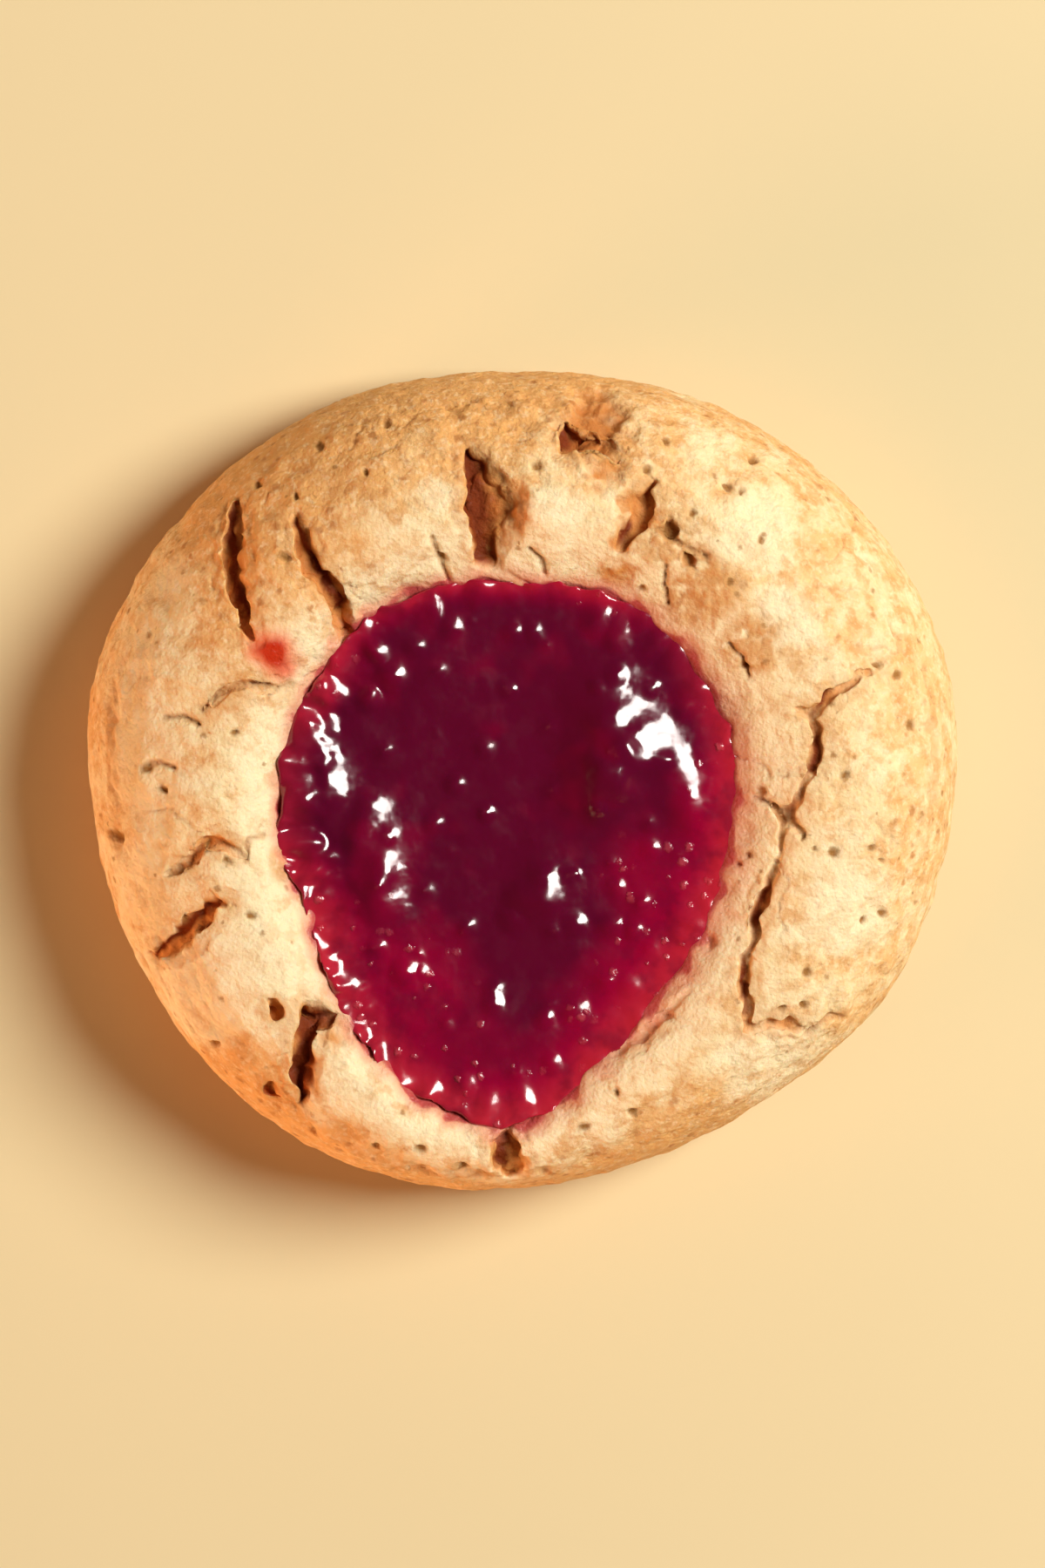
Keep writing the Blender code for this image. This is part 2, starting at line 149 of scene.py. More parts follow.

# Dark brown dough, with painted shade, down in the widest cracks, and dark lines of painted shade along
# their sheer sides: a route and a radius
BROWN_CORE = 0.6
BROWN_AND_SHADED_CRACKS = (
    (-3.6, 21.0, 1.9), (-3.2, 18.6, 1.8), (-2.9, 16.4, 1.5), (4.4, 24.4, 2.2), (-13.9, -16.0, 1.6),
    (-14.8, -19.0, 1.8),
)
SHADE_LINE_CORE = 0.35
PAINTED_SHADE_LINES = (
    (((-3.9, 22.8), (-3.6, 20.6), (-3.3, 18.2), (-3.2, 15.4)), 1.4),
    (((2.6, 24.3), (2.7, 23.2)), 0.95),
    (((3.4, 22.2), (4.6, 21.6)), 0.5),
    (((6.8, 17.6), (5.9, 16.2)), 0.5),
    (((-13.6, -14.8), (-14.3, -16.2), (-14.7, -18.4), (-14.7, -21.2)), 1.2),
    (((-19.4, 18.6), (-19.3, 15.4), (-18.5, 12.2)), 0.6),
    (((-14.8, 17.6), (-13.6, 15.2), (-12.0, 12.6)), 0.6),
    (((20.3, 6.5), (19.3, 5.2), (19.6, 2.8), (18.6, 0.8), (17.4, -1.4), (17.1, -4.4)), 0.42),
    (((17.1, -4.4), (15.8, -7.3), (15.1, -10.1), (14.5, -12.1), (15.0, -14.6)), 0.42),
    (((-24.6, -11.0), (-21.4, -8.3), (-20.1, -7.2)), 0.5),
    (((-1.2, -22.8), (-1.4, -24.8)), 0.7),
)

# The relief sets in just above the base, and some marks only show on what faces up
SKIN_HEIGHTS = (0.1 * MM, 1.4 * MM)
TOP_SLOPES = (0.0, 0.4)

# Places where the rim is broken up in crumbs. The crumbs have one size and height, with less of the height in
# a crack and on its lips, and they rise and sink about a level
CRUMBLY_CORE = 0.5
CRUMBLY_PLACES = (
    (9.4, 16.6, 2.4), (11.8, 13.4, 3.4), (15.2, 9.8, 2.6), (6.0, 14.6, 1.5), (-15.6, -4.8, 1.8),
)
CRUMB_SIZE = 0.75 * MM
CRUMB_RISE = 0.36 * MM
CRUMBS_IN_CRACK = 0.55
CRUMBS_ON_LIP = 0.45
CRUMB_LEVEL = 0.5
LIP_CRUMB_LEVEL = 0.9
BROKEN_LIP = 0.5

# Shallow hollows where a flake broke out: a place and a depth. They have more brown crumb the deeper they
# are, and past a certain depth they are painted darker, as shade
HOLLOW_CORE = 0.3
HOLLOW_CRUMB = 0.6
CRUMB_FOR_DEPTH = 0.6
DARK_PAST = 0.3
HOLLOWS = (
    (4.8, 24.2, 2.9, 0.75), (5.7, 21.2, 1.6, 0.35), (7.6, 18.8, 1.6, 0.25), (6.2, 16.6, 1.2, 0.2),
    (6.3, 14.4, 1.2, 0.15), (-0.6, 18.6, 2.0, 0.3), (-12.4, -16.1, 1.4, 0.3), (11.4, 15.5, 0.9, 0.25),
)

# Pores and flecks of almond skin that show as brown dots
DOT_CORE = 1.0 / 3.0
DOT_SPREAD = 1.2
DOT_DEPTH = 0.26 * MM
DOTS = (
    (15.9, -0.1, 0.35), (18.6, -2.8, 0.3), (19.3, -3.8, 0.25), (20.6, -4.1, 0.4), (23.2, -3.8, 0.3),
    (23.8, -4.8, 0.25), (14.5, -4.8, 0.3), (15.1, -4.1, 0.25), (24.0, -8.2, 0.3), (22.9, -8.7, 0.25),
    (19.0, -12.1, 0.4), (18.6, -14.5, 0.3), (17.2, -14.7, 0.3), (4.2, -22.4, 0.45), (7.5, -21.6, 0.35),
    (6.3, -19.9, 0.3), (12.6, -10.1, 0.5), (9.6, 23.0, 0.3), (8.3, 21.4, 0.4), (15.5, 21.9, 0.3),
    (9.6, 17.3, 0.6), (15.9, 16.7, 0.35), (14.5, 19.8, 0.25), (1.1, 21.6, 0.35), (24.9, 7.6, 0.35),
    (23.8, 8.3, 0.3), (26.0, 4.3, 0.4), (21.5, 1.2, 0.3), (14.8, 8.3, 0.4), (13.6, 14.0, 0.35),
    (-13.5, 22.8, 0.35), (-10.4, 21.2, 0.3), (-17.6, 20.2, 0.3), (-9.0, 24.3, 0.3), (-15.0, 19.4, 0.3),
    (-15.8, 15.9, 0.3), (-19.2, 4.0, 0.35), (-24.9, 1.5, 0.35), (-24.1, 0.2, 0.3), (-27.2, -3.1, 0.5),
    (-20.8, -3.7, 0.5), (-19.6, -4.6, 0.3), (-22.4, -8.8, 0.25), (-18.0, -8.2, 0.35), (-6.6, -24.0, 0.45),
    (-9.7, -23.7, 0.3), (-4.0, -25.2, 0.4), (-20.5, -17.3, 0.3), (-5.2, 15.4, 0.3), (8.0, 13.3, 0.3),
    (11.4, 18.6, 0.3), (13.6, 20.3, 0.3), (11.1, 15.6, 0.3),
)

# Hairline cracks: the ones that stand out, as routes, and faint ones where the noise crosses zero. They are
# cut as shallow grooves and painted darker, as painted shade
HAIRLINE_WIDTH = 0.3 * MM
HAIRLINE_DEPTH = 0.32 * MM
HAIRLINES = (
    ((17.4, -2.0), (16.6, -0.9), (15.4, -0.4)),
    ((-6.0, 16.9), (-5.5, 15.4), (-4.9, 14.0)),
    ((0.5, 16.1), (1.3, 15.4), (1.5, 14.4)),
    ((9.0, 17.5), (10.6, 16.4), (12.3, 15.7)),
    ((9.5, 15.0), (9.4, 13.6), (9.7, 12.4)),
    ((13.7, 9.8), (14.6, 8.9), (15.0, 7.6)),
    ((-21.4, 5.4), (-20.2, 6.5), (-18.6, 7.2), (-16.9, 7.0)),
    ((-23.8, 4.9), (-22.6, 5.0), (-21.6, 4.5)),
    ((-23.6, -5.6), (-22.2, -4.9), (-21.3, -3.8)),
    ((-25.0, 1.8), (-24.2, 1.9), (-23.2, 1.6)),
    ((-18.4, -4.6), (-18.2, -3.2), (-17.2, -3.0)),
    ((19.0, -16.5), (20.6, -15.2), (21.4, -15.4)),
)
FAINT_WIDTH = 0.05
FAINT_WHERE = (0.15, 0.4)
FAINT_SHARE = 0.45
UNCRACKED_PLACE = (-16.0, -14.0)
UNCRACKED_REACH = (4.0 * MM, 7.0 * MM)

# Rounded pale places of the rim, where the dough rose and stayed soft, and the pale rim round the jam
PALE_CORE = 0.45
PALE_PLACES = (
    (-20.6, -12.8, 5.4), (16.6, -18.0, 5.0), (2.3, 18.6, 2.8), (-5.4, 19.6, 1.5), (-13.4, 9.4, 2.2),
    (21.6, -8.0, 4.0), (15.6, 17.5, 3.5), (-16.6, -9.6, 3.0), (17.5, 11.6, 3.0), (-13.0, -20.6, 2.4),
)
INNER_RIM = (2.6 * MM, 6.6 * MM)

# The dough is stained next to the jam, more widely on the right, and under a small smear of it on the rim
STAIN_REACH = (0.2 * MM, 2.0 * MM)
STAIN_WIDENING = 0.5
STAIN_WIDENS = (6.0 * MM, 12.0 * MM)
SMEAR_MIDDLE = (-16.5, 9.2)
SMEAR_TURN = math.radians(-46.0)
SMEAR_RISE = 0.22 * MM
SMEAR_HALF = (1.3, 0.9)
SMEAR_CORE = (0.5, 1.25)
SMEAR_HALO = (0.8, 2.3)

# Browning is most far left and on the side next to the viewer. On the right side, which the key lamp lights,
# and on the left edge, which lies in shade, the crust holds painted light and shade: the steep parts are
# paler at both, the flat right is a little browner and the whole left edge is paler
LEAST_TOAST = 0.1
LIT_RIGHT_SIDE = (-5.0 * MM, 22.0 * MM)
LIT_RIGHT_SLANT = 0.25
LIT_RIGHT_TOAST = 0.06
STEEP_PALER_WHERE_LIT = 0.75
SHADED_LEFT_EDGE = (19.0 * MM, 25.0 * MM)
PALER_AT_SHADED_LEFT_EDGE = 0.5
STEEP_PALER_AT_SHADED_LEFT_EDGE = 0.35
FAR_LEFT = (10.0 * MM, 34.0 * MM)
FAR_LEFT_TOAST = 0.4
FAR_LEFT_PALER_AT_SHADED_EDGE = 0.5
NEAR_SIDE = (16.0 * MM, 22.0 * MM)
NEAR_TOAST = 0.3
LESS_WHERE_PALE = 0.4

UP = Vector((0.0, 0.0, 1.0))


def apply_modifiers(piece):
    """Turns what a piece's modifiers make into its own mesh."""
    bpy.context.view_layer.update()
    graph = bpy.context.evaluated_depsgraph_get()
    shaped = bpy.data.meshes.new_from_object(
        piece.evaluated_get(graph), preserve_all_data_layers=True, depsgraph=graph
    )
    piece.modifiers.clear()
    piece.data = shaped


def refined_copy(name, node, voxel):
    """A new object from a closed copy of a CAD node's mesh, divided into even faces of one size."""
    bm = bmesh.new()
    bm.from_mesh(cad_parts[node].data)
    bmesh.ops.remove_doubles(bm, verts=bm.verts, dist=0.001 * MM)
    mesh = bpy.data.meshes.new(name)
    bm.to_mesh(mesh)
    bm.free()
    made = bpy.data.objects.new(name, mesh)
    bpy.context.scene.collection.objects.link(made)
    fine = made.modifiers.new("fine skin", "REMESH")
    fine.mode = "VOXEL"
    fine.voxel_size = voxel
    apply_modifiers(made)
    return made


def thin_out(piece, hidden):
    """Merges most of the faces between the vertices that are marked as hidden."""
    group = piece.vertex_groups.new(name="hidden")
    group.add(np.flatnonzero(hidden).tolist(), 1.0, "REPLACE")
    thin = piece.modifiers.new("thin out", "DECIMATE")
    thin.vertex_group = group.name
    thin.ratio = 1.0 - float(np.mean(hidden)) * (1.0 - HIDDEN_KEPT)
    apply_modifiers(piece)
    piece.vertex_groups.clear()


def vertex_vectors(mesh, what="co"):
    """The place of each vertex, or its normal."""
    vectors = np.empty(len(mesh.vertices) * 3)
    mesh.vertices.foreach_get(what, vectors)
    return vectors.reshape(-1, 3)


def move_points(mesh, points):
    mesh.vertices.foreach_set("co", points.ravel())
    mesh.update()


def paint(mesh, masks):
    """Stores named values for each vertex, which the material reads by their names."""
    for name, values in masks.items():
        mask = mesh.attributes.new(name, "FLOAT", "POINT")
        mask.data.foreach_set("value", np.asarray(values, dtype=np.float32))


def fade(values, start, end):
    """0 at start, 1 at end, smooth between them."""
    share = np.clip((values - start) / (end - start), 0.0, 1.0)
    return share * share * (3.0 - 2.0 * share)


def clouds(points, size, reach, seed):
    """Soft noise at each point, from about -reach to reach, in patches of that size."""
    shift = Vector((seed, -seed, 2.0 * seed))
    return reach * np.array([noise.noise(Vector(point) + shift) for point in points / size])


def sideways(points, size, reach, seed_x, seed_y):
    """Soft noise over the plan at each point, for its x and its y."""
    return np.column_stack([clouds(points, size, reach, seed) for seed in (seed_x, seed_y)])


def crumbs(points, size):
    """Rounded crumbs packed side by side, from 1 at the middle of a crumb to about 0 between crumbs."""
    return np.array([1.0 - noise.voronoi(Vector(point))[0][0] for point in points / size])


def distances_to_place(points, x, y):
    """How far each point is over the plan, in metres, from a place in millimetres."""
    return np.linalg.norm(points[:, :2] - np.array((x, y)) * MM, axis=1)


def distances_to_route(points, route):
    """How far each point is over the plan, in metres, from a line of straight runs in millimetres."""
    nearest = np.full(len(points), np.inf)
    for start, end in zip(route, route[1:]):
        start, run = np.array(start) * MM, (np.array(end) - np.array(start)) * MM
        along = np.clip((points[:, :2] - start) @ run / (run @ run), 0.0, 1.0)
        nearest = np.minimum(nearest, np.linalg.norm(points[:, :2] - start - along[:, None] * run, axis=1))
    return nearest


def in_place(points, x, y, radius, core, uneven=0.0):
    """1 in the core of a place, which is that share of its radius, and 0 outside the place."""
    distances = distances_to_place(points, x, y) + uneven
    return 1.0 - fade(distances, core * radius * MM, radius * MM)


def tree_of(piece):
    bm = bmesh.new()
    bm.from_mesh(piece.data)
    tree = BVHTree.FromBMesh(bm)
    bm.free()
    return tree


def spread(heights, reach, pick):
    """The highest or lowest height within reach of each step of the plan."""
    rows, columns = heights.shape
    padded = np.pad(heights, reach, mode="edge")
    picked = heights
    for down in range(-reach, reach + 1):
        for across in range(-reach, reach + 1):
            if math.hypot(down, across) <= reach:
                top, left = reach + down, reach + across
                picked = pick(picked, padded[top : top + rows, left : left + columns])
    return picked


def plan_of_cracks():
    """Heights over the plan of a lid that lies on the cookie over its cracks, and of the gap below it."""
    low, high = cad_box
    trees = [tree_of(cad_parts[node]) for node in ("cookie_dough", "jam")]
    columns = math.ceil((high.x - low.x) / PLAN_STEP) + 1
    rows = math.ceil((high.y - low.y) / PLAN_STEP) + 1
    heights = np.zeros((rows, columns))
    for row in range(rows):
        for column in range(columns):
            above = Vector((low.x + column * PLAN_STEP, low.y + row * PLAN_STEP, 2.0 * high.z))
            hits = [tree.ray_cast(above, -UP)[0] for tree in trees]
            heights[row, column] = max((hit.z for hit in hits if hit), default=0.0)
    lid = spread(spread(heights, LID_REACH, np.maximum), LID_REACH, np.minimum)
    for _ in range(LID_SMOOTHING):
        padded = np.pad(lid, 1, mode="edge")
        four_beside = padded[:-2, 1:-1] + padded[2:, 1:-1] + padded[1:-1, :-2] + padded[1:-1, 2:]
        lid = 0.5 * lid + 0.125 * four_beside
    return lid, np.maximum(lid - heights, 0.0)


def read_plan(heights, points):
    """The plan's height over each point, between its steps."""
    across = (points[:, 0] - cad_box[0].x) / PLAN_STEP
    down = (points[:, 1] - cad_box[0].y) / PLAN_STEP
    column = np.clip(across.astype(int), 0, heights.shape[1] - 2)
    row = np.clip(down.astype(int), 0, heights.shape[0] - 2)
    right, up = across - column, down - row
    near = heights[row, column] * (1 - right) + heights[row, column + 1] * right
    far = heights[row + 1, column] * (1 - right) + heights[row + 1, column + 1] * right
    return near * (1 - up) + far * up


dough = refined_copy("crumbly_dough", "cookie_dough", DOUGH_VOXEL)
jam_tree = tree_of(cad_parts["jam"])
points = vertex_vectors(dough.data)
under_jam = np.array([jam_tree.ray_cast(Vector(point), UP)[0] is not None for point in points])
thin_out(dough, under_jam | (points[:, 2] < SKIN_HEIGHTS[0]))

# The lips of the cracks are worn soft, before they are made ragged again
points = vertex_vectors(dough.data)
lid, gap = plan_of_cracks()
lowest_beside = read_plan(spread(lid - gap, SIDE_REACH, np.minimum), points)
high_up = fade(points[:, 2], *CRACKS_ABOVE) * fade(lowest_beside, *SIDE_HEIGHTS)
at_lips = high_up * fade(read_plan(spread(gap, LIP_REACH, np.maximum), points), *LIP_DEPTHS)
lips = dough.vertex_groups.new(name="lips")
lips.add(np.flatnonzero(at_lips > LIPS_FROM).tolist(), 1.0, "REPLACE")
worn = dough.modifiers.new("worn lips", "SMOOTH")
worn.vertex_group = lips.name
worn.iterations = LIP_SMOOTHING
apply_modifiers(dough)
dough.vertex_groups.clear()

# Some cracks are nearly closed, and crumbs lie on the floor of others
points = vertex_vectors(dough.data)
below_lid = np.maximum(read_plan(lid, points) - points[:, 2], 0.0)
closed = np.zeros(len(points))
for x, y, radius, share in CLOSED_CRACKS:
    closed = np.maximum(closed, share * in_place(points, x, y, radius, CLOSED_CORE))
points[:, 2] += closed * high_up * below_lid
below_lid *= 1.0 - closed * high_up
wedge_start, wedge_end = np.array(WEDGE_LINE) * MM
wedge_run = (wedge_end - wedge_start) / np.linalg.norm(wedge_end - wedge_start)
past_line = (points[:, 1] - wedge_start[1]) * wedge_run[0] - (points[:, 0] - wedge_start[0]) * wedge_run[1]
in_wedge = (past_line > -WEDGE_OVERLAP) & (past_line < WEDGE_WIDTH)
in_wedge &= (points[:, 1] > wedge_end[1]) & (points[:, 1] < wedge_start[1])
wedge_floor = WEDGE_DEPTH * (1.0 - np.clip(past_line / WEDGE_WIDTH, 0.0, 1.0)) ** WEDGE_CURVE + WEDGE_LEAST
most = np.where(in_wedge, wedge_floor, np.inf)
for x, y, radius, depth in CRACK_FLOORS:
    past_core = np.maximum(distances_to_place(points, x, y) - FLOOR_CORE * radius * MM, 0.0)
    most = np.minimum(most, depth * MM + FLOOR_SLOPE * past_core)
points[:, 2] += high_up * np.maximum(below_lid - most, 0.0)
below_lid = np.where(high_up > 0.5, np.minimum(below_lid, most), below_lid)
move_points(dough.data, points)

# How much each point lies in a crack, deep down in one, on a sheer side painted dark, in crumbs or in a
# hollow.
# The crack and deep masks make the dough browner and darker the deeper it lies: partly the broken dough's own
# brown, partly painted shade
normals = vertex_vectors(dough.data, "normal")
on_top = fade(normals[:, 2], *TOP_SLOPES)
in_crack = high_up * fade(below_lid, *CRACK_DEPTHS)
deep_with_shade = high_up * fade(below_lid, *DEEP_DEPTHS)
for x, y, radius in BROWN_AND_SHADED_CRACKS:
    deep_with_shade = np.maximum(deep_with_shade, in_crack * in_place(points, x, y, radius, BROWN_CORE))
# Painted shade: dark lines down the sheer sides of the widest cracks, where no light reaches
painted_crack_shade = np.zeros(len(points))
shade_line_edge = clouds(points, *SHADE_LINE_EDGE)
for route, radius in PAINTED_SHADE_LINES:
    away = distances_to_route(points, route) + shade_line_edge
    share = fade(below_lid, *SHADE_LINE_DEPTHS) * (1.0 - fade(away, SHADE_LINE_CORE * radius * MM, radius * MM))
    painted_crack_shade = np.maximum(painted_crack_shade, high_up * share)
broken = np.zeros(len(points))
for x, y, radius in CRUMBLY_PLACES:
    broken = np.maximum(broken, on_top * in_place(points, x, y, radius, CRUMBLY_CORE))
hollow = np.zeros(len(points))
hollow_edge = clouds(points, *HOLLOW_EDGE) + clouds(points, *FINE_HOLLOW_EDGE)
crumb_patches = clouds(points, *CRUMB_PATCHES)
for x, y, radius, depth in HOLLOWS:
    share = on_top * in_place(points, x, y, radius, HOLLOW_CORE, hollow_edge)
    hollow = np.maximum(hollow, depth * share)
    deep_with_shade = np.maximum(deep_with_shade, (depth - DARK_PAST) * share)
    crumb = share * (HOLLOW_CRUMB + CRUMB_FOR_DEPTH * depth + crumb_patches)
    in_crack = np.maximum(in_crack, np.clip(crumb, 0.0, 1.0))

# The relief of the skin, along its normals: swollen patches, sand, crumbs, dots and hairlines
relief = sum(clouds(points, *pattern) for pattern in (SWELLING, LUMPS, SAND))
relief -= hollow * MM
relief += in_crack * clouds(points, *RAGGED_CRACK)
packed = crumbs(points, CRUMB_SIZE)
relief += CRUMB_RISE * np.maximum(CRUMBS_IN_CRACK * in_crack, broken) * (packed - CRUMB_LEVEL)
relief += CRUMB_RISE * CRUMBS_ON_LIP * at_lips * (1.0 - in_crack) * (packed - LIP_CRUMB_LEVEL)
dots = np.zeros(len(points))
dot_edge = clouds(points, *DOT_EDGE)
for x, y, radius in DOTS:
    dots = np.maximum(dots, on_top * in_place(points, x, y, DOT_SPREAD * radius, DOT_CORE, dot_edge))
relief -= DOT_DEPTH * dots
faint = fade(clouds(points, *FAINT_PATCHES), *FAINT_WHERE) * (1.0 - in_crack)
faint *= fade(distances_to_place(points, *UNCRACKED_PLACE), *UNCRACKED_REACH)
courses = clouds(points, *FAINT_COURSE) + clouds(points, *FAINT_TREMBLE)
hairline = FAINT_SHARE * faint * (1.0 - fade(np.abs(courses), 0.0, FAINT_WIDTH))
wander = sideways(points, *WIDE_WANDER) + sideways(points, *FINE_WANDER)
wander += at_lips[:, None] * sideways(points, *LIP_WANDER)
wander *= (LOW_WANDER + (1.0 - LOW_WANDER) * high_up)[:, None]
wandered = points + np.column_stack([wander, np.zeros(len(points))])
for route in HAIRLINES:
    line = 1.0 - fade(distances_to_route(wandered, route), 0.0, HAIRLINE_WIDTH)
    hairline = np.maximum(hairline, line * on_top)
relief -= HAIRLINE_DEPTH * hairline

# Pale, stained and smeared places
to_jam = np.array([jam_tree.find_nearest(Vector(point))[3] for point in points])
pale = 1.0 - fade(to_jam + clouds(points, *INNER_RIM_EDGE), *INNER_RIM)
pale_edge = clouds(points, *PALE_EDGE)
for x, y, radius in PALE_PLACES:
    pale = np.maximum(pale, in_place(points, x, y, radius, PALE_CORE, pale_edge))
pale *= on_top
widened = 1.0 + STAIN_WIDENING * fade(points[:, 0], *STAIN_WIDENS)
stain = 1.0 - fade((to_jam + clouds(points, *STAIN_EDGE)) / widened, *STAIN_REACH)
from_smear = points[:, :2] / MM - np.array(SMEAR_MIDDLE)
smear_axis = np.array((math.cos(SMEAR_TURN), math.sin(SMEAR_TURN)))
along_smear = from_smear @ smear_axis / SMEAR_HALF[0]
across_smear = from_smear @ np.array((-smear_axis[1], smear_axis[0])) / SMEAR_HALF[1]
smear_reach = np.hypot(along_smear, across_smear) + clouds(points, *SMEAR_EDGE)
smear = high_up * (1.0 - fade(smear_reach, *SMEAR_CORE))
halo = high_up * (1.0 - fade(smear_reach, *SMEAR_HALO))
relief += SMEAR_RISE * smear

# Browning, which is stronger on the steep parts, with painted light and shade on the lit right side and
# the shaded left edge
lit_right = fade(points[:, 0] + LIT_RIGHT_SLANT * points[:, 1], *LIT_RIGHT_SIDE)
shaded_left_edge = fade(-points[:, 0], *SHADED_LEFT_EDGE)
toast_and_painted_light = 1.0 - normals[:, 2]
toast_and_painted_light *= (1.0 - STEEP_PALER_WHERE_LIT * lit_right) * (1.0 - STEEP_PALER_AT_SHADED_LEFT_EDGE * shaded_left_edge)
far_left = FAR_LEFT_TOAST * fade(points[:, 1] - points[:, 0], *FAR_LEFT)
toast_and_painted_light += far_left * (1.0 - FAR_LEFT_PALER_AT_SHADED_EDGE * shaded_left_edge)
toast_and_painted_light += LEAST_TOAST + LIT_RIGHT_TOAST * lit_right - PALER_AT_SHADED_LEFT_EDGE * shaded_left_edge - LESS_WHERE_PALE * pale
toast_and_painted_light += NEAR_TOAST * fade(-points[:, 1], *NEAR_SIDE) * (1.0 - shaded_left_edge)

skin = fade(points[:, 2], *SKIN_HEIGHTS)
points[:, 2] += CRACK_FILL * high_up * np.maximum(below_lid - FILLED_BELOW, 0.0)
points += normals * (relief * skin)[:, None]
points[:, :2] += wander * skin[:, None]
move_points(dough.data, points)
paint(dough.data, {
    "crack": in_crack,
    "deep_with_shade": deep_with_shade,
    "painted_crack_shade": painted_crack_shade,
    "hairline": hairline,
    "jam_stain": stain,
    "smear": smear,
    "halo": halo,
    "broken": np.maximum(broken, BROKEN_LIP * at_lips),
    "dot": dots,
    "toast_and_painted_light": toast_and_painted_light,
    "pale": pale,
})
flatter = dough.modifiers.new("fewer faces where it is flat", "DECIMATE")
flatter.ratio = FACES_KEPT
apply_modifiers(dough)
dough.data.shade_smooth()

CREAM_CRUST = (0.90, 0.75, 0.48)
PALE_CRUST = (0.83, 0.63, 0.34)
GOLDEN_CRUST = (0.78, 0.41, 0.14)
BROWN_FOOT = (0.60, 0.26, 0.07)
BROWN_PATCH = (0.66, 0.33, 0.11)
SUGAR_GRAIN = (0.93, 0.76, 0.48)
BROWN_CRUMB = (0.62, 0.29, 0.09)
# Broken dough in the cracks, deep down in them and along their sheer sides: its own brown, made darker with
# depth as painted shade
BROKEN_DOUGH_AND_SHADE = (0.62, 0.25, 0.065)
DEEP_DOUGH_AND_SHADE = (0.42, 0.12, 0.02)
PAINTED_CRACK_SHADE_COLOUR = (0.18, 0.027, 0.002)
# Painted shade in the hairline cracks
HAIRLINE_SHADE_BROWN = (0.42, 0.18, 0.055)
FRECKLE_BROWN = (0.47, 0.19, 0.055)
ALMOND_SKIN = (0.33, 0.145, 0.035)
PINK_DOUGH = (0.74, 0.26, 0.16)
SOAKED_DOUGH = (0.50, 0.08, 0.07)
ORANGE_HALO = (0.80, 0.21, 0.10)
SMEAR_JAM = (0.52, 0.035, 0.01)

# Soft patches in the crust: their size, the noise where they start and are full, its detail, their strength
UNEVEN_TOAST = (3.0 * MM, 0.3, 0.7, 4.0, 0.5)
CREAM_PATCHES = (3.6 * MM, 0.42, 0.62, 3.0, 0.55)
BROWN_PATCHES = (1.3 * MM, 0.45, 0.62, 4.0, 1.0)
SUGAR_GRAINS = (0.5 * MM, 0.5, 0.68, 2.0, 0.35)
BROWN_CRUMBS = (1.1 * MM, 0.25, 0.55, 2.0, 0.85)
DRY_PATCHES = (0.8 * MM, 0.3, 0.7, 2.0, 1.0)
COARSE_GRAIN = (0.55 * MM, 0.25, 0.75, 1.0, 1.0)
FINE_GRAIN = (0.2 * MM, 0.25, 0.75, 2.0, 1.0)
COARSE_DEPTH = 0.06 * MM
FINE_DEPTH = 0.03 * MM

# All specks, as shares of their radius: the noise that makes them uneven, their sizes, and their soft edges
WOBBLE_SIZE = 1.5
WOBBLE_REACH = 1.6
SPECK_SIZES = (0.55, 1.0)
SPECK_EDGES = (0.4, 1.4)
SPECK_CHANCES = (1.0, 1.02)

# Specks in the crust: the size of the cells they lie in, their radius, and the share of the cells with one
FRECKLES = (1.2 * MM, 0.34 * MM, 0.7)
SKIN_FLECKS = (1.5 * MM, 0.24 * MM, 0.5)

# How much of a colour or finish a value gives: its range, and the amounts at its ends if not 0 and 1
GOLDEN_BY_TOAST = (0.2, 1.05)
CREAM_BY_TOAST = (0.2, 0.75, 1.0, 0.0)
PATCHES_BY_TOAST = (0.15, 0.7, 0.3, 0.8)
FRECKLES_BY_TOAST = (0.3, 0.75, 0.0, 0.8)
FOOT_BY_HEIGHT = (0.0, 3.0 * MM, 0.9, 0.0)
SOAKED_BY_STAIN = (0.85, 1.0)
SHINE_BY_JAM = (0.3, 1.0, 1.0, 0.35)
DRY_ROUGHNESS = (0.62, 0.88)
PALE_SHARE = 0.75
FLECK_SHARE = 0.7
HAIRLINE_SHADE_SHARE = 0.75
HALO_SHARE = 0.9
STAIN_SHARE = 0.85


def feed(tree, socket, value):
    """Links a socket to another, or sets it to a number or a colour."""
    if isinstance(value, bpy.types.NodeSocket):
        tree.links.new(value, socket)
    elif isinstance(value, tuple):
        socket.default_value = (*value, 1.0)
    else:
        socket.default_value = value


def object_place(tree):
    return tree.nodes.new("ShaderNodeTexCoord").outputs["Object"]


def vertex_value(tree, name):
    node = tree.nodes.new("ShaderNodeAttribute")
    node.attribute_name = name
    return node.outputs["Fac"]


def remap(tree, value, low, high, to_low=0.0, to_high=1.0):
    """Spreads the values between low and high over a new range, and holds the rest at its ends."""
    node = tree.nodes.new("ShaderNodeMapRange")
    node.interpolation_type = "SMOOTHSTEP"
    feed(tree, node.inputs["Value"], value)
    for name, setting in zip(("From Min", "From Max", "To Min", "To Max"), (low, high, to_low, to_high)):
        feed(tree, node.inputs[name], setting)
    return node.outputs["Result"]


def math_node(tree, operation, first, second, clamp=True):
    node = tree.nodes.new("ShaderNodeMath")
    node.operation = operation
    node.use_clamp = clamp
    feed(tree, node.inputs[0], first)
    feed(tree, node.inputs[1], second)
    return node.outputs["Value"]


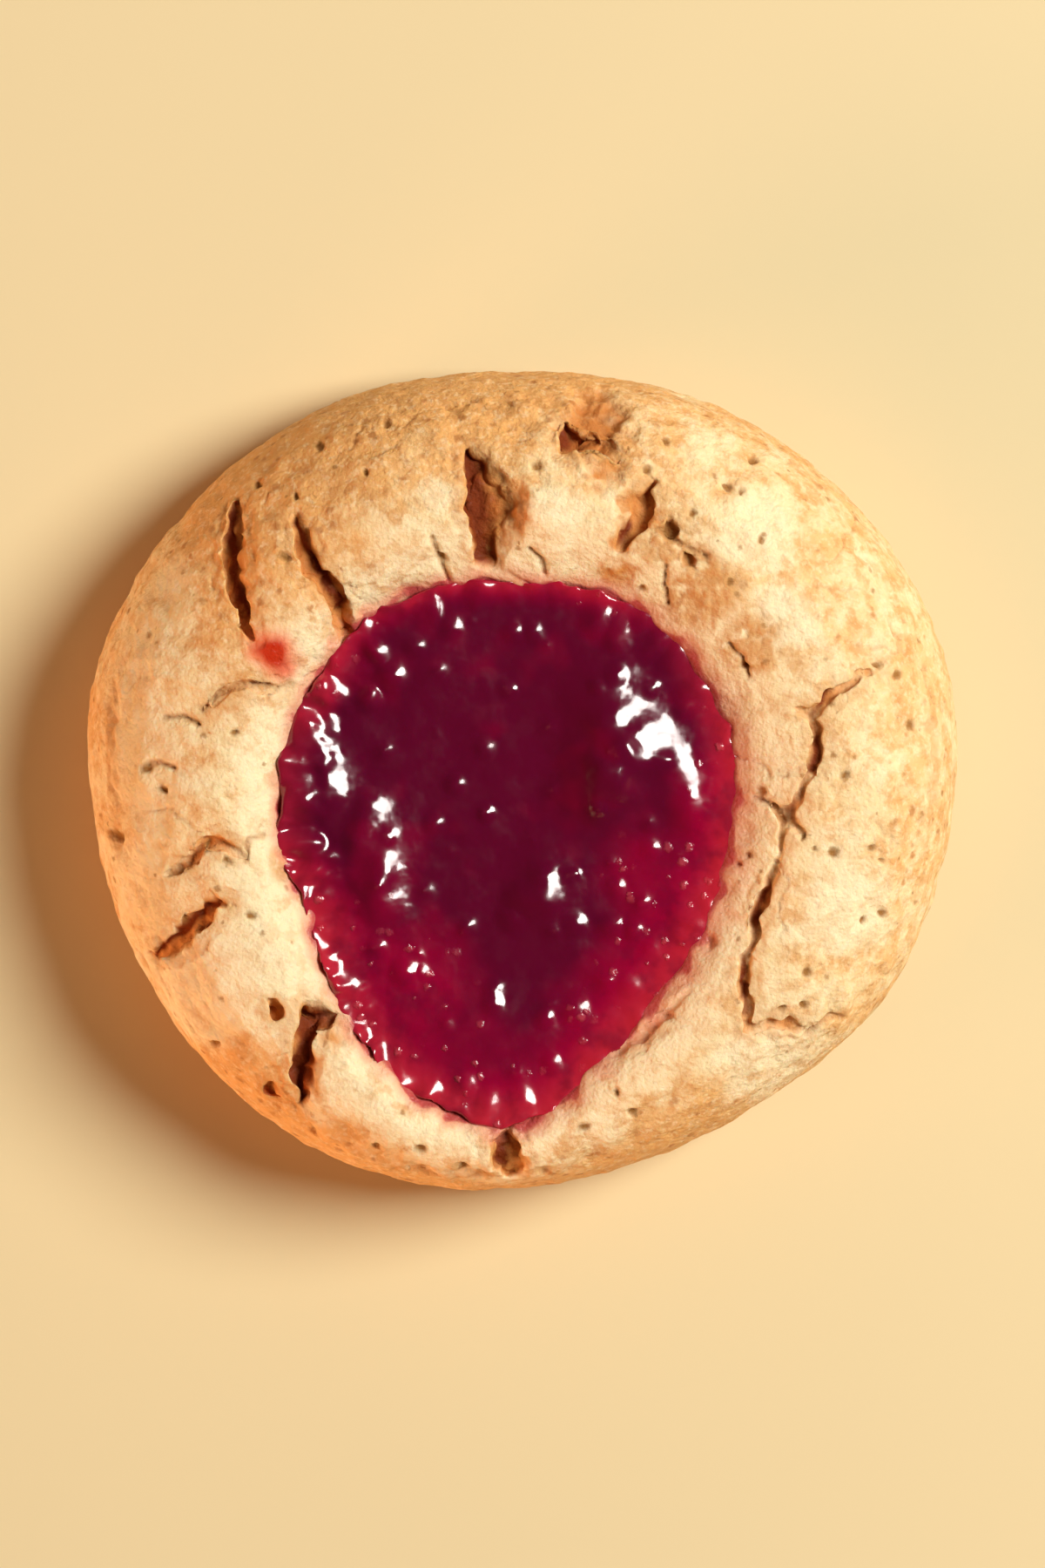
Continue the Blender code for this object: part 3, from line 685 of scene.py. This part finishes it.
def noise_at(tree, scale, detail=2.0):
    node = tree.nodes.new("ShaderNodeTexNoise")
    feed(tree, node.inputs["Scale"], scale)
    feed(tree, node.inputs["Detail"], detail)
    node.inputs["Roughness"].default_value = 0.6
    tree.links.new(object_place(tree), node.inputs["Vector"])
    return node


def blend_colours(tree, share, first, second):
    node = tree.nodes.new("ShaderNodeMix")
    node.data_type = "RGBA"
    feed(tree, node.inputs["Factor"], share)
    feed(tree, node.inputs[6], first)
    feed(tree, node.inputs[7], second)
    return node.outputs[2]


def bump(tree, height, depth, normal=None):
    node = tree.nodes.new("ShaderNodeBump")
    node.inputs["Distance"].default_value = depth
    tree.links.new(height, node.inputs["Height"])
    if normal is not None:
        tree.links.new(normal, node.inputs["Normal"])
    return node.outputs["Normal"]


def mask_group(name, inputs, fill):
    """A shader group with those inputs and one output, Mask, which fill makes from them."""
    group = bpy.data.node_groups.new(name, "ShaderNodeTree")
    for label in inputs:
        group.interface.new_socket(label, in_out="INPUT", socket_type="NodeSocketFloat")
    group.interface.new_socket("Mask", in_out="OUTPUT", socket_type="NodeSocketFloat")
    given = group.nodes.new("NodeGroupInput").outputs
    group.links.new(fill(group, given), group.nodes.new("NodeGroupOutput").inputs["Mask"])
    return group


def mask_from(tree, group, values):
    """The mask of a shader group that is placed in a material with its own values, in the inputs' order."""
    node = tree.nodes.new("ShaderNodeGroup")
    node.node_tree = group
    for socket, value in zip(node.inputs, values):
        socket.default_value = value
    return node.outputs["Mask"]


def fill_soft_patches(tree, given):
    """Patches of that size, from 0 where the noise is Low to the full strength where it is High."""
    scale = math_node(tree, "DIVIDE", 1.0, given["Size"], clamp=False)
    cloudy = noise_at(tree, scale, given["Detail"]).outputs["Fac"]
    return remap(tree, cloudy, given["Low"], given["High"], 0.0, given["Strength"])


def fill_specks(tree, given):
    """Small uneven specks: one in each cell of the given size, in that share of the cells."""
    radius, share = given["Radius"], given["Share"]
    wobble = tree.nodes.new("ShaderNodeVectorMath")
    wobble.operation = "MULTIPLY_ADD"
    wobble_scale = math_node(tree, "DIVIDE", 1.0 / WOBBLE_SIZE, radius, clamp=False)
    tree.links.new(noise_at(tree, wobble_scale).outputs["Color"], wobble.inputs[0])
    tree.links.new(math_node(tree, "MULTIPLY", radius, WOBBLE_REACH, clamp=False), wobble.inputs[1])
    tree.links.new(object_place(tree), wobble.inputs[2])
    cells = tree.nodes.new("ShaderNodeTexVoronoi")
    feed(tree, cells.inputs["Scale"], math_node(tree, "DIVIDE", 1.0, given["Cell"], clamp=False))
    tree.links.new(wobble.outputs["Vector"], cells.inputs["Vector"])
    by_chance = tree.nodes.new("ShaderNodeSeparateColor")
    tree.links.new(cells.outputs["Color"], by_chance.inputs["Color"])
    size = remap(tree, by_chance.outputs["Green"], 0.0, 1.0, *SPECK_SIZES)
    away = math_node(tree, "DIVIDE", cells.outputs["Distance"], size)
    reach = math_node(tree, "DIVIDE", radius, given["Cell"], clamp=False)
    core, edge = (math_node(tree, "MULTIPLY", reach, part, clamp=False) for part in SPECK_EDGES)
    near = remap(tree, away, core, edge, 1.0, 0.0)
    first, last = (math_node(tree, "SUBTRACT", level, share, clamp=False) for level in SPECK_CHANCES)
    return math_node(tree, "MULTIPLY", near, remap(tree, by_chance.outputs["Red"], first, last))


soft_patches = mask_group("soft_patches", ("Size", "Low", "High", "Detail", "Strength"), fill_soft_patches)
specks = mask_group("specks", ("Cell", "Radius", "Share"), fill_specks)


def baked_dough_material():
    material = bpy.data.materials.new("baked_dough")
    material.use_nodes = True
    tree = material.node_tree
    shader = tree.nodes["Principled BSDF"]

    # The toast mask is browning together with painted light and shade on the right side and the left edge
    toast_and_painted_light = math_node(
        tree, "ADD", vertex_value(tree, "toast_and_painted_light"), mask_from(tree, soft_patches, UNEVEN_TOAST), clamp=False
    )
    colour = blend_colours(tree, remap(tree, toast_and_painted_light, *GOLDEN_BY_TOAST), PALE_CRUST, GOLDEN_CRUST)
    cream = mask_from(tree, soft_patches, CREAM_PATCHES)
    cream = math_node(tree, "MULTIPLY", cream, remap(tree, toast_and_painted_light, *CREAM_BY_TOAST))
    pale = math_node(tree, "MULTIPLY", vertex_value(tree, "pale"), PALE_SHARE)
    colour = blend_colours(tree, math_node(tree, "MAXIMUM", cream, pale), colour, CREAM_CRUST)
    split = tree.nodes.new("ShaderNodeSeparateXYZ")
    tree.links.new(object_place(tree), split.inputs["Vector"])
    colour = blend_colours(tree, remap(tree, split.outputs["Z"], *FOOT_BY_HEIGHT), colour, BROWN_FOOT)
    patches = mask_from(tree, soft_patches, BROWN_PATCHES)
    patches = math_node(tree, "MULTIPLY", patches, remap(tree, toast_and_painted_light, *PATCHES_BY_TOAST))
    colour = blend_colours(tree, patches, colour, BROWN_PATCH)
    colour = blend_colours(tree, mask_from(tree, soft_patches, SUGAR_GRAINS), colour, SUGAR_GRAIN)
    crumb = mask_from(tree, soft_patches, BROWN_CRUMBS)
    crumb = math_node(tree, "MULTIPLY", vertex_value(tree, "broken"), crumb)
    colour = blend_colours(tree, crumb, colour, BROWN_CRUMB)
    # Cracks browner and darker with depth, and dark along sheer sides: the dough's own brown and painted
    # shade
    for name, dough_colour in (("crack", BROKEN_DOUGH_AND_SHADE), ("deep_with_shade", DEEP_DOUGH_AND_SHADE), ("painted_crack_shade", PAINTED_CRACK_SHADE_COLOUR)):
        colour = blend_colours(tree, vertex_value(tree, name), colour, dough_colour)
    # Painted shade along the hairlines
    hairline = math_node(tree, "MULTIPLY", vertex_value(tree, "hairline"), HAIRLINE_SHADE_SHARE)
    colour = blend_colours(tree, hairline, colour, HAIRLINE_SHADE_BROWN)
    freckles = mask_from(tree, specks, FRECKLES)
    freckles = math_node(tree, "MULTIPLY", freckles, remap(tree, toast_and_painted_light, *FRECKLES_BY_TOAST))
    colour = blend_colours(tree, freckles, colour, FRECKLE_BROWN)
    flecks = math_node(tree, "MULTIPLY", mask_from(tree, specks, SKIN_FLECKS), FLECK_SHARE)
    flecks = math_node(tree, "MAXIMUM", flecks, vertex_value(tree, "dot"))
    colour = blend_colours(tree, flecks, colour, ALMOND_SKIN)
    halo = math_node(tree, "MULTIPLY", vertex_value(tree, "halo"), HALO_SHARE)
    colour = blend_colours(tree, halo, colour, ORANGE_HALO)
    smear = vertex_value(tree, "smear")
    colour = blend_colours(tree, smear, colour, SMEAR_JAM)
    stain = vertex_value(tree, "jam_stain")
    colour = blend_colours(tree, math_node(tree, "MULTIPLY", stain, STAIN_SHARE), colour, PINK_DOUGH)
    colour = blend_colours(tree, remap(tree, stain, *SOAKED_BY_STAIN), colour, SOAKED_DOUGH)
    tree.links.new(colour, shader.inputs["Base Color"])

    roughness = remap(tree, mask_from(tree, soft_patches, DRY_PATCHES), 0.0, 1.0, *DRY_ROUGHNESS)
    shine = remap(tree, math_node(tree, "MAXIMUM", stain, smear), *SHINE_BY_JAM)
    tree.links.new(math_node(tree, "MULTIPLY", roughness, shine), shader.inputs["Roughness"])
    coarse = bump(tree, mask_from(tree, soft_patches, COARSE_GRAIN), COARSE_DEPTH)
    fine = bump(tree, mask_from(tree, soft_patches, FINE_GRAIN), FINE_DEPTH, coarse)
    tree.links.new(fine, shader.inputs["Normal"])
    shader.inputs["Subsurface Weight"].default_value = 0.25
    shader.inputs["Subsurface Radius"].default_value = (1.0, 0.45, 0.2)
    shader.inputs["Subsurface Scale"].default_value = 1.2 * MM
    shader.inputs["Specular IOR Level"].default_value = 0.25
    return material


dough.data.materials.clear()
dough.data.materials.append(baked_dough_material())
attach(dough, "root")
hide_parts("cookie_dough")

# ---- Berry jam -------------------------------------------------------------------------------------------
# Sieved berry jam, spooned into the thumbprint and set in the oven: a wet, glossy gel that is dark crimson
# where it is deep and bright red where it thins out on the dough, with small pale seeds under its skin.

# The side of the mesh's faces, how steep its hidden underside is, and how often its skin is smoothed
JAM_VOXEL = 0.17 * MM
UNDERSIDE_SLOPE = -0.2
JAM_SMOOTHING = 26

# What faces up, how far the smoothing lowers a seed's top, which is raised again, and the outline's steps
UPPER_SLOPES = (0.0, 0.5)
SEED_TOPS = (0.06 * MM, 0.2 * MM)
SEED_RISE = 0.12 * MM
OUTLINE_STEPS = 90

# Soft noise in the gel: the size of its patches, how far it reaches, and its seed
GEL_WAVES = (2.6 * MM, 0.1 * MM, 41.0)
GEL_PUCKER = (1.4 * MM, 0.04 * MM, 43.0)
UNEVEN_FOLDS = (1.5 * MM, 0.2, 61.0)
RIM_PEBBLES = (0.75 * MM, 0.15 * MM, 79.0)
CREEP_WANDER = (1.1 * MM, 1.2, 73.0)
RIM_WANDER = (2.8 * MM, 0.5 * MM, 47.0)
RIM_SCALLOPS = (1.1 * MM, 0.22 * MM, 51.0)
CLEAR_EDGE = (1.6 * MM, 0.8 * MM, 87.0)

# A fold is a soft ridge of gel: the line of its crest, how wide it is to one side and its height. Folds and
# pebbles die out at the edge, and on the left the pebbled edge is wider and rougher
FOLDS_FROM_EDGE = (0.0, 1.1 * MM)
LEFT_SIDE = (6.0 * MM, 12.0 * MM)
PEBBLES_FROM_EDGE = (-0.2 * MM, 0.5 * MM)
PEBBLES_FADE_FROM = 1.0 * MM
PEBBLES_END = 2.2 * MM
PEBBLES_WIDER_AT_LEFT = 1.4 * MM
PEBBLE_SHARE = 0.55
PEBBLES_MORE_AT_LEFT = 1.1
GEL_FOLDS = (
    (((5.7, 3.9), (5.7, 1.2)), 2.75, 1.3),
    (((4.8, 0.3), (5.2, -0.6)), 2.0, 0.55),
    (((8.7, 3.4), (9.7, 1.9), (10.6, 0.4), (11.1, -1.5)), 1.3, 0.42),
    (((7.0, 3.0), (7.8, 1.8)), 0.9, 0.5),
    (((5.8, 1.2), (5.9, 0.6)), 1.0, 0.4),
    (((-15.4, 4.9), (-14.4, 3.3), (-13.4, 1.2), (-13.0, -0.5)), 1.4, 0.66),
    (((-10.3, -1.2), (-11.1, -3.4)), 0.9, 0.42),
    (((-9.2, -4.9), (-9.1, -5.4)), 0.8, 0.22),
    (((-9.6, -6.6), (-9.4, -7.4)), 1.5, 0.75),
    (((1.4, -5.9), (1.5, -7.3)), 0.9, 0.42),
)

# Small round swellings where seeds and bubbles sit under the skin, most of them near the edge. A bead spreads
# to twice its radius, and rises by a share of its radius
BEAD_SPREAD = 2.0
BEAD_RISE = 0.5
BEADS_HIGHER_AT_LEFT = 0.7
BEADS = (
    (-2.9, 12.5, 0.6), (-4.7, 10.8, 0.6), (-5.8, 11.6, 0.5), (-8.7, 7.5, 0.7), (-10.2, 6.0, 0.6),
    (-7.2, 9.6, 0.5), (-9.6, 8.9, 0.5), (-0.6, 10.5, 0.5), (0.7, 10.5, 0.5), (-2.5, 2.7, 0.5),
    (-4.5, 0.3, 0.5), (-2.4, -1.7, 0.4), (-5.9, -2.3, 0.5), (-12.8, 6.2, 0.7), (-11.8, 9.0, 0.5),
    (4.8, 11.0, 0.6), (6.2, 10.0, 0.6), (7.6, 10.5, 0.5), (8.5, 9.2, 0.6), (9.6, 8.3, 0.6),
    (6.2, 7.7, 0.5), (10.9, 6.3, 0.6), (10.8, 5.4, 0.5), (4.9, 6.9, 0.4), (-15.3, 1.3, 0.9),
    (-14.6, -0.9, 0.9), (-15.8, -3.3, 0.6), (-14.2, -3.6, 0.7), (-14.8, -5.3, 0.6), (-14.9, -6.9, 0.6),
    (-13.9, -8.2, 0.5), (-12.5, -11.3, 0.6), (-11.6, -12.6, 0.5), (-9.6, -17.3, 0.6), (-10.6, -15.9, 0.5),
    (-7.8, -12.2, 0.7), (-6.8, -12.2, 0.4), (-2.0, -14.3, 0.5), (-6.1, -19.7, 0.6), (-3.8, -19.7, 0.6),
    (-2.3, -20.7, 0.6), (-0.1, -20.6, 0.6), (1.5, -15.3, 0.5), (3.5, -14.7, 0.7), (-15.8, 3.2, 0.5),
    (-16.0, -0.2, 0.5), (-16.0, -1.8, 0.5), (-14.9, -2.3, 0.5), (-13.7, -5.4, 0.5), (-15.1, -9.2, 0.5),
    (-14.0, -10.2, 0.5), (-13.3, -9.4, 0.4), (-12.6, -13.4, 0.5), (-8.0, -18.8, 0.5), (2.0, -18.3, 0.5),
    (3.5, -9.0, 0.6), (5.9, -9.1, 0.6), (7.4, -9.4, 0.5), (8.5, -3.9, 0.5), (6.2, -6.5, 0.5),
    (10.5, -8.6, 0.6), (10.3, -9.5, 0.5), (7.0, -13.0, 0.5), (0.0, -7.4, 0.9), (-0.7, -8.6, 0.7),
)

# The edge creeps up the dough and grows out over it, further on the right and the left
RIGHT_PART = (2.0 * MM, 8.0 * MM)
RIM_CREEP = 0.3 * MM
CREEP_REACH = (-0.2 * MM, 1.3 * MM)
LESS_CREEP_AT_RIGHT = 0.4
RIM_REACH = (0.2 * MM, 2.2 * MM)
RIM_GROWTH = 0.75 * MM
GROWTH_AT_RIGHT = 0.15 * MM
GROWTH_AT_LEFT = 0.3 * MM

# Places along the edge that are as dark as the middle, and clear, redder places with how clear they are
DARK_CORE = 0.4
DARK_EDGES = ((9.6, 9.2, 6.0), (-15.2, 0.4, 6.4))
CLEAR_CORE = 0.3
CLEAR_PLACES = (
    (-7.6, -13.6, 6.4, 0.85), (-11.0, -8.5, 4.6, 0.5), (8.6, -6.0, 4.8, 0.7), (-3.0, -17.0, 4.0, 0.5),
)

# How far in from its edge the gel glows red and is thin: less at the top, more in the lower and right parts
TOP_PART = (6.0 * MM, 11.0 * MM)
LOWER_PART = (1.0 * MM, 13.0 * MM)
RIGHT_OF_MIDDLE = (3.0 * MM, 10.0 * MM)
BELOW_TOP_PART = (-4.0 * MM, 1.0 * MM)
GLOW_REACH = 1.6 * MM
GLOW_LESS_AT_TOP = 0.4 * MM
GLOW_MORE_BELOW = 3.4 * MM
GLOW_MORE_AT_RIGHT = 2.2 * MM
GLOW_FADES = (0.2, 1.3)
GLOW_LOST_AT_DARK_EDGE = 0.85
THIN_FROM = 0.2 * MM
THIN_REACH = 1.9 * MM
THIN_LESS_AT_TOP = 0.9 * MM
THIN_MORE_BELOW = 0.5 * MM
THIN_LOST_AT_DARK_EDGE = 0.6
THIN_LOST_AT_TOP = 0.45

jam = refined_copy("berry_jam_filling", "jam", JAM_VOXEL)
thin_out(jam, vertex_vectors(jam.data, "normal")[:, 2] < UNDERSIDE_SLOPE)
rough_heights = vertex_vectors(jam.data)[:, 2]
gel = jam.modifiers.new("gel skin", "SMOOTH")
gel.factor = 0.5
gel.iterations = JAM_SMOOTHING
apply_modifiers(jam)

points = vertex_vectors(jam.data)
jam_low, jam_high = (np.array(corner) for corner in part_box("jam"))
jam_middle = 0.5 * (jam_low + jam_high)[:2]
outward = points[:, :2] - jam_middle
outward /= np.maximum(np.linalg.norm(outward, axis=1), 1e-9)[:, None]
facing_up = fade(vertex_vectors(jam.data, "normal")[:, 2], *UPPER_SLOPES)
seed_tops = fade(rough_heights - points[:, 2], *SEED_TOPS) * facing_up

# How far each point lies inside the jam's outline, along a line from its middle
from_middle = np.linalg.norm(points[:, :2] - jam_middle, axis=1)
turns = np.arctan2(outward[:, 1], outward[:, 0])
steps = np.floor((turns + math.pi) / math.tau * OUTLINE_STEPS).astype(int) % OUTLINE_STEPS
outline = np.zeros(OUTLINE_STEPS)
np.maximum.at(outline, steps, from_middle)
step_turns = (np.arange(OUTLINE_STEPS) + 0.5) / OUTLINE_STEPS * math.tau - math.pi
inside = np.interp(turns, step_turns, outline, period=math.tau) - from_middle

# The skin of the gel: waves, folds, beads, the pebbled edge and the tops of the seeds
points[:, 2] += facing_up * (clouds(points, *GEL_WAVES) + clouds(points, *GEL_PUCKER))
folds = np.zeros(len(points))
fold_swelling = 1.0 + clouds(points, *UNEVEN_FOLDS)
for crest, width, height in GEL_FOLDS:
    from_crest = distances_to_route(points, crest) / (width * MM)
    folds += height * MM * fold_swelling * np.exp(-(from_crest ** 2))
folds *= fade(inside, *FOLDS_FROM_EDGE)
at_left = fade(-points[:, 0], *LEFT_SIDE)
beads = np.zeros(len(points))
for x, y, radius in BEADS:
    beads = np.maximum(beads, radius * MM * in_place(points, x, y, BEAD_SPREAD * radius, 0.0))
beads *= BEAD_RISE * (1.0 + BEADS_HIGHER_AT_LEFT * at_left)
near_rim = 1.0 - fade(inside, PEBBLES_FADE_FROM, PEBBLES_END + PEBBLES_WIDER_AT_LEFT * at_left)
pebbles = (PEBBLE_SHARE + PEBBLES_MORE_AT_LEFT * at_left) * near_rim * fade(inside, *PEBBLES_FROM_EDGE)
pebbles *= clouds(points, *RIM_PEBBLES)
points[:, 2] += facing_up * (folds + pebbles + beads + SEED_RISE * seed_tops)

# The edge, which closes the gap to the dough
to_right = fade(points[:, 0], *RIGHT_PART)
creep = RIM_CREEP * (1.0 - LESS_CREEP_AT_RIGHT * to_right) * (1.0 + clouds(points, *CREEP_WANDER))
points[:, 2] += creep * (1.0 - fade(inside, *CREEP_REACH))
growth = RIM_GROWTH + GROWTH_AT_RIGHT * to_right + GROWTH_AT_LEFT * at_left
growth += clouds(points, *RIM_WANDER) + clouds(points, *RIM_SCALLOPS)
points[:, :2] += outward * (growth * (1.0 - fade(inside, *RIM_REACH)))[:, None]
move_points(jam.data, points)

# Where the gel lets light through
dark_edge = np.zeros(len(points))
for x, y, radius in DARK_EDGES:
    dark_edge = np.maximum(dark_edge, in_place(points, x, y, radius, DARK_CORE))
at_top = fade(points[:, 1], *TOP_PART)
lower = fade(-points[:, 1], *LOWER_PART)
lower_right = fade(points[:, 0], *RIGHT_OF_MIDDLE) * fade(-points[:, 1], *BELOW_TOP_PART)
glow_reach = GLOW_REACH - GLOW_LESS_AT_TOP * at_top + GLOW_MORE_BELOW * lower
glow_reach += GLOW_MORE_AT_RIGHT * lower_right
glow = (1.0 - GLOW_LOST_AT_DARK_EDGE * dark_edge) * (1.0 - fade(inside / glow_reach, *GLOW_FADES))
clear_edge = clouds(points, *CLEAR_EDGE)
for x, y, radius, share in CLEAR_PLACES:
    glow = np.maximum(glow, share * in_place(points, x, y, radius, CLEAR_CORE, clear_edge))
thin_reach = THIN_REACH - THIN_LESS_AT_TOP * at_top + THIN_MORE_BELOW * lower
thin = (1.0 - THIN_LOST_AT_DARK_EDGE * dark_edge) * (1.0 - THIN_LOST_AT_TOP * at_top)
thin *= 1.0 - fade(inside, THIN_FROM, thin_reach)
paint(jam.data, {"glow": glow, "thin": thin, "seed": seed_tops})
jam.data.shade_smooth()

DEEP_JAM = (0.104, 0.0012, 0.02)
CLEAR_JAM = (0.30, 0.0002, 0.03)
THIN_JAM = (0.47, 0.016, 0.035)
JAM_SEED = (0.40, 0.10, 0.09)
# Pink of the pips, partly painted glints
PIP_AND_GLINT_PINK = (0.62, 0.10, 0.12)

# Soft patches in the gel, and pale pips under its skin, with the same values as those in the crust. The
# pips are painted pink, partly as seeds and partly as painted glints
CLOUDED_GEL = (2.6 * MM, 0.42, 0.66, 3.0, 0.5)
FAINTLY_RED_GEL = (5.0 * MM, 0.5, 0.7, 2.0, 0.3)
DULLER_GEL = (1.2 * MM, 0.3, 0.7, 2.0, 1.0)
PUCKERED_GEL = (0.9 * MM, 0.2, 0.8, 1.0, 1.0)
PUCKER_DEPTH = 0.022 * MM
PIPS = (1.15 * MM, 0.3 * MM, 0.65)
PIPS_BY_GLOW = (0.1, 0.8)
PIP_AND_GLINT_SHARE = 0.35
PIP_DEPTH = 0.08 * MM
SEED_SHARE = 0.4
WET_ROUGHNESS = (0.13, 0.24)


def berry_jam_material():
    material = bpy.data.materials.new("berry_jam")
    material.use_nodes = True
    tree = material.node_tree
    shader = tree.nodes["Principled BSDF"]

    glow = vertex_value(tree, "glow")
    colour = blend_colours(tree, glow, DEEP_JAM, CLEAR_JAM)
    colour = blend_colours(tree, mask_from(tree, soft_patches, FAINTLY_RED_GEL), colour, CLEAR_JAM)
    colour = blend_colours(tree, vertex_value(tree, "thin"), colour, THIN_JAM)
    clouded = math_node(tree, "MULTIPLY", mask_from(tree, soft_patches, CLOUDED_GEL), glow)
    colour = blend_colours(tree, clouded, colour, DEEP_JAM)
    seeds = math_node(tree, "MULTIPLY", vertex_value(tree, "seed"), SEED_SHARE)
    colour = blend_colours(tree, seeds, colour, JAM_SEED)
    # Pips: pale seeds under the skin, painted pink partly as glints, with a bump
    pips_and_glints = math_node(tree, "MULTIPLY", mask_from(tree, specks, PIPS), remap(tree, glow, *PIPS_BY_GLOW))
    colour = blend_colours(tree, math_node(tree, "MULTIPLY", pips_and_glints, PIP_AND_GLINT_SHARE), colour, PIP_AND_GLINT_PINK)
    tree.links.new(colour, shader.inputs["Base Color"])
    roughness = remap(tree, mask_from(tree, soft_patches, DULLER_GEL), 0.0, 1.0, *WET_ROUGHNESS)
    tree.links.new(roughness, shader.inputs["Roughness"])
    pucker = bump(tree, mask_from(tree, soft_patches, PUCKERED_GEL), PUCKER_DEPTH)
    tree.links.new(bump(tree, pips_and_glints, PIP_DEPTH, pucker), shader.inputs["Normal"])
    shader.inputs["Subsurface Weight"].default_value = 0.15
    shader.inputs["Subsurface Radius"].default_value = (1.0, 0.12, 0.15)
    shader.inputs["Subsurface Scale"].default_value = 1.0 * MM
    shader.inputs["Coat Weight"].default_value = 0.5
    shader.inputs["Coat Roughness"].default_value = 0.08
    return material


jam.data.materials.clear()
jam.data.materials.append(berry_jam_material())
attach(jam, "root")
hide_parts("jam")

# ---- Floor, light and camera -----------------------------------------------------------------------------
# A plain pale table top, one soft round lamp high on the right, a wide warm one low on the left and two faint
# ones low behind and in front, and a camera that looks almost straight down from slightly behind the cookie.

FLOOR_SIDE = 1.6
FLOOR_COLOUR = (0.76, 0.63, 0.36)
FLOOR_ROUGHNESS = 0.7

bm = bmesh.new()
bmesh.ops.create_grid(bm, x_segments=1, y_segments=1, size=0.5 * FLOOR_SIDE)
floor_mesh = bpy.data.meshes.new("table_top")
bm.to_mesh(floor_mesh)
bm.free()
floor = bpy.data.objects.new("table_top", floor_mesh)
bpy.context.scene.collection.objects.link(floor)
floor_material = bpy.data.materials.new("pale_table_top")
floor_material.use_nodes = True
floor_shader = floor_material.node_tree.nodes["Principled BSDF"]
floor_shader.inputs["Base Color"].default_value = (*FLOOR_COLOUR, 1.0)
floor_shader.inputs["Roughness"].default_value = FLOOR_ROUGHNESS
floor_mesh.materials.append(floor_material)

LOOK_AT = Vector((0.0, 0.0, 8.0)) * MM
WIDE_LAMP = 0.4

# A lamp's azimuth, anticlockwise from +X, its elevation, distance, diameter, power and colour
LAMPS = {
    "key_lamp": (20.0, 47.0, 0.8, 0.38, 8.9, (1.0, 0.96, 0.9)),
    "left_lamp": (206.0, 4.5, 1.0, 0.5, 13.5, (1.0, 0.53, 0.32)),
    "far_lamp": (100.0, 11.0, 1.0, 0.6, 1.6, (1.0, 0.66, 0.42)),
    "near_lamp": (258.0, 11.0, 1.0, 0.6, 2.4, (1.0, 0.64, 0.38)),
}
ROOM_COLOUR = (1.0, 0.97, 0.93)
ROOM_STRENGTH = 0.024


def soft_lamp(name, azimuth, elevation, distance, diameter, power, colour):
    """A round lamp that faces the cookie, and isn't reflected in it if it is wide."""
    turn, rise = math.radians(azimuth), math.radians(elevation)
    towards = Vector((math.cos(turn) * math.cos(rise), math.sin(turn) * math.cos(rise), math.sin(rise)))
    data = bpy.data.lights.new(name, "AREA")
    data.shape = "DISK"
    data.size = diameter
    data.energy = power
    data.color = colour
    lamp = bpy.data.objects.new(name, data)
    lamp.location = LOOK_AT + towards * distance
    lamp.rotation_euler = towards.to_track_quat("Z", "Y").to_euler()
    lamp.visible_glossy = diameter < WIDE_LAMP
    bpy.context.scene.collection.objects.link(lamp)


for lamp_name, settings in LAMPS.items():
    soft_lamp(lamp_name, *settings)

world = bpy.data.worlds.new("soft_room")
world.use_nodes = True
world.node_tree.nodes["Background"].inputs["Color"].default_value = (*ROOM_COLOUR, 1.0)
world.node_tree.nodes["Background"].inputs["Strength"].default_value = ROOM_STRENGTH
bpy.context.scene.world = world
bpy.context.scene.view_settings.view_transform = "Standard"

CAMERA_DISTANCE = 0.9
CAMERA_TILT = math.radians(4.0)
FRAME_HEIGHT = 105.0 * MM
SENSOR_SIDE = 36.0
NEAREST_SEEN = 0.05

camera_data = bpy.data.cameras.new("camera")
camera_data.sensor_width = SENSOR_SIDE
camera_data.lens = SENSOR_SIDE * CAMERA_DISTANCE / FRAME_HEIGHT
camera_data.clip_start = NEAREST_SEEN
camera = bpy.data.objects.new("camera", camera_data)
camera.location = LOOK_AT + CAMERA_DISTANCE * Vector((0.0, math.sin(CAMERA_TILT), math.cos(CAMERA_TILT)))
camera.rotation_euler = (-CAMERA_TILT, 0.0, 0.0)
bpy.context.scene.collection.objects.link(camera)
bpy.context.scene.camera = camera
